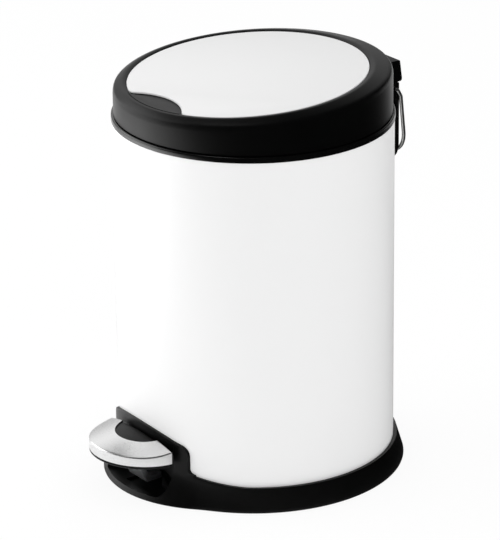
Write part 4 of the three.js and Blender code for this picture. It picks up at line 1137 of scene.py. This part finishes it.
finishes = {
    "rubber": rubberBlack,
    "inner_plastic": bucketMoulded,
    "nylon": nylonNatural,
    "zinc_steel": zincSteel,
    "black_plastic": blackMoulded,
}
slotOf = {entry["node"]: entry["material_slot"] for entry in frame["record"]["subparts"]}
for nodeName, node in frame["nodes"].items():
    finish = finishes.get(slotOf[nodeName])
    if finish is None:
        continue
    if not node.material_slots:
        node.data.materials.append(finish)
    for place in node.material_slots:
        place.material = finish
print("step can: carried-over nodes dressed")


# reflections see a studio: real paper near the can; beyond it, painted light glowing on the floor, a painted
# pool of light to its left and a painted glow that is dark toward the camera and bright behind;
# a pale backdrop behind, and a dark room round the camera and overhead
studio = {
    "behind": (-0.97, 0.24, 0.0),
    "dark": 0.012,
    "skySpread": (0.42, 0.95),
    "skyRise": (0.1, 0.5),
    "skyLow": 0.42,
    "skyHigh": 1.32,
    "roof": (0.6, 0.85),
    "paperCentre": (-0.03, -0.2, 0.0),
    "paperEdge": (0.2, 0.32),
    # painted glow on the floor, seen in reflections only: down to dark toward the camera, bright behind
    "paintedGlowSpread": (0.15, 0.75),
    "paintedGlowBehind": 1.1,
    # painted pool of light: the floor glows there in reflections only, brightest at its centre
    "paintedPool": (-0.42, -0.68, 0.0),
    "paintedPoolSize": 0.7,
    "paintedPoolGlow": 4.2,
    "fill": 0.63,
    "floorColour": "#F4F4F4",
    "floorHalf": 6.0,
    "floorGap": 0.2,       # mm under the can, so that the two never share a plane
    "whiteShare": 0.9,
}


def makeFloor(values):
    # white to the camera, a plain pale floor under the light, and unseen from below; beyond the paper near
    # the can, reflections see it glow with painted light: a painted pool of light to the left, and dark
    # toward the camera
    half, low = values["floorHalf"], -values["floorGap"] * mm
    corners = [(-half, -half, low), (half, -half, low), (half, half, low), (-half, half, low)]
    mesh = bpy.data.meshes.new("studioFloor")
    mesh.from_pydata(corners, [], [(0, 1, 2, 3)])
    material = bpy.data.materials.new("studioPaper")
    tree = blankTree(material)
    path = addNode(tree, "ShaderNodeLightPath").outputs
    place = addNode(tree, "ShaderNodeTexCoord").outputs["Object"]
    shades = []
    # painted light for reflections: the glow that falls off toward the camera, the painted pool of light, and
    # where the painted glow takes over from the real paper
    for operation, other, start, end, nearest, farthest in (
            ("DOT_PRODUCT", values["behind"], *values["paintedGlowSpread"], values["dark"], values["paintedGlowBehind"]),
            ("DISTANCE", values["paintedPool"], 0.0, values["paintedPoolSize"], values["paintedPoolGlow"], 0.0),
            ("DISTANCE", values["paperCentre"], *values["paperEdge"], 0.0, 1.0)):
        apart = addNode(tree, "ShaderNodeVectorMath", {0: place, 1: other}, operation=operation)
        shade = addNode(tree, "ShaderNodeMapRange", {
            "Value": apart.outputs["Value"], "From Min": start, "From Max": end,
            "To Min": nearest, "To Max": farthest}, interpolation_type="SMOOTHSTEP")
        shades.append(shade.outputs["Result"])
    paintedGlow, paintedPool, beyond = shades
    mirrored = addNode(tree, "ShaderNodeMath", {0: paintedGlow, 1: paintedPool}, operation="ADD")
    strength = addNode(tree, "ShaderNodeMix", {
        "Factor": path["Is Glossy Ray"], "A": 1.0, "B": mirrored.outputs["Value"]})
    glow = addNode(tree, "ShaderNodeEmission", {
        "Color": (1, 1, 1, 1), "Strength": strength.outputs["Result"]})
    gloss = addNode(tree, "ShaderNodeMath", {0: path["Is Glossy Ray"], 1: beyond}, operation="MULTIPLY")
    seen = addNode(tree, "ShaderNodeMath", {
        0: path["Is Camera Ray"], 1: values["whiteShare"]}, operation="MULTIPLY")
    share = addNode(tree, "ShaderNodeMath", {
        0: seen.outputs["Value"], 1: gloss.outputs["Value"]}, operation="MAXIMUM")
    paper = addNode(tree, "ShaderNodeBsdfDiffuse", {"Color": hexColour(values["floorColour"])})
    mixed = addNode(tree, "ShaderNodeMixShader", {
        0: share.outputs["Value"], 1: paper.outputs["BSDF"], 2: glow.outputs["Emission"]})
    under = addNode(tree, "ShaderNodeNewGeometry").outputs["Backfacing"]
    clear = addNode(tree, "ShaderNodeBsdfTransparent").outputs["BSDF"]
    whole = addNode(tree, "ShaderNodeMixShader", {0: under, 1: mixed.outputs["Shader"], 2: clear})
    addNode(tree, "ShaderNodeOutputMaterial", {"Surface": whole.outputs["Shader"]})
    mesh.materials.append(material)
    floor = placed("studioFloor", mesh)


def makeWorld(values):
    sky = bpy.data.worlds.new("studioWorld")
    bpy.context.scene.world = sky
    tree = blankTree(sky)
    path = addNode(tree, "ShaderNodeLightPath").outputs
    heading = addNode(tree, "ShaderNodeTexCoord").outputs["Generated"]
    facing = addNode(tree, "ShaderNodeVectorMath", {
        0: heading, 1: values["behind"]}, operation="DOT_PRODUCT").outputs["Value"]
    height = addNode(tree, "ShaderNodeSeparateXYZ", {"Vector": heading}).outputs["Z"]
    lit = 1.0
    for value, start, end, low, high in (
            (facing, *values["skySpread"], 0.0, 1.0),
            (height, *values["skyRise"], values["skyLow"], values["skyHigh"]),
            (height, *values["roof"], 1.0, 0.0)):
        shade = addNode(tree, "ShaderNodeMapRange", {
            "Value": value, "From Min": start, "From Max": end, "To Min": low, "To Max": high},
            interpolation_type="SMOOTHSTEP").outputs["Result"]
        lit = addNode(tree, "ShaderNodeMath", {0: shade, 1: lit}, operation="MULTIPLY").outputs["Value"]
    mirrored = addNode(tree, "ShaderNodeMath", {0: lit, 1: values["dark"]}, operation="ADD")
    indoors = addNode(tree, "ShaderNodeMix", {
        "Factor": path["Is Glossy Ray"], "A": values["fill"], "B": mirrored.outputs["Value"]})
    strength = addNode(tree, "ShaderNodeMath", {
        0: path["Is Camera Ray"], 1: indoors.outputs["Result"]}, operation="MAXIMUM")
    light = addNode(tree, "ShaderNodeBackground", {
        "Color": (1, 1, 1, 1), "Strength": strength.outputs["Value"]})
    addNode(tree, "ShaderNodeOutputWorld", {"Surface": light.outputs["Background"]})


# a panel with gloss off lights the can and leaves no reflection of its own
lamps = [
    {"name": "keyPanel", "at": (-1.55, -1.25, 0.95), "size": 2.0, "watts": 28.0, "gloss": True},
    {"name": "fillPanel", "at": (1.7, -0.4, 1.2), "size": 1.6, "watts": 8.0, "gloss": False},
    {"name": "topPanel", "at": (-0.1, 0.5, 2.4), "size": 1.6, "watts": 12.0, "gloss": False},
    {"name": "ridgePanel", "at": (-0.1, -0.75, 2.4), "size": 0.6, "watts": 3.0, "gloss": True},
]


def makeLamps(rows):
    for row in rows:
        data = bpy.data.lights.new(row["name"], "AREA")
        data.shape = "SQUARE"
        data.size = row["size"]
        data.energy = row["watts"]
        lamp = placed(row["name"], data)
        lamp.visible_glossy = row["gloss"]
        lamp.location = row["at"]
        toCan = Vector((0, 0, 0.15)) - Vector(row["at"])
        lamp.rotation_euler = toCan.to_track_quat("-Z", "Y").to_euler()


camera = {
    "at": (1.94660, -1.40390, 1.09872),
    "pitch": 0.3792,       # radians down from level
    "azimuth": 54.2,       # degrees round from the front
    "roll": -0.0096,
    "focal": 239.87,
    "shiftX": -0.00867,
}


def makeCamera(values):
    data = bpy.data.cameras.new("photoCamera")
    data.sensor_fit = "AUTO"
    data.sensor_width = 36
    data.lens = values["focal"]
    data.shift_x = values["shiftX"]
    data.clip_end = 50
    eye = placed("photoCamera", data)
    turn, pitch = math.radians(values["azimuth"]), values["pitch"]
    look = Vector((-math.sin(turn) * math.cos(pitch), math.cos(turn) * math.cos(pitch), -math.sin(pitch)))
    level = look.to_track_quat("-Z", "Y").to_matrix()
    aim = (level @ Matrix.Rotation(values["roll"], 3, "Z")).to_4x4()
    eye.matrix_world = Matrix.Translation(values["at"]) @ aim
    bpy.context.scene.camera = eye


makeFloor(studio)
makeWorld(studio)
makeLamps(lamps)
makeCamera(camera)
bpy.context.scene.view_settings.view_transform = "Standard"
print("step can: floor, light and camera")
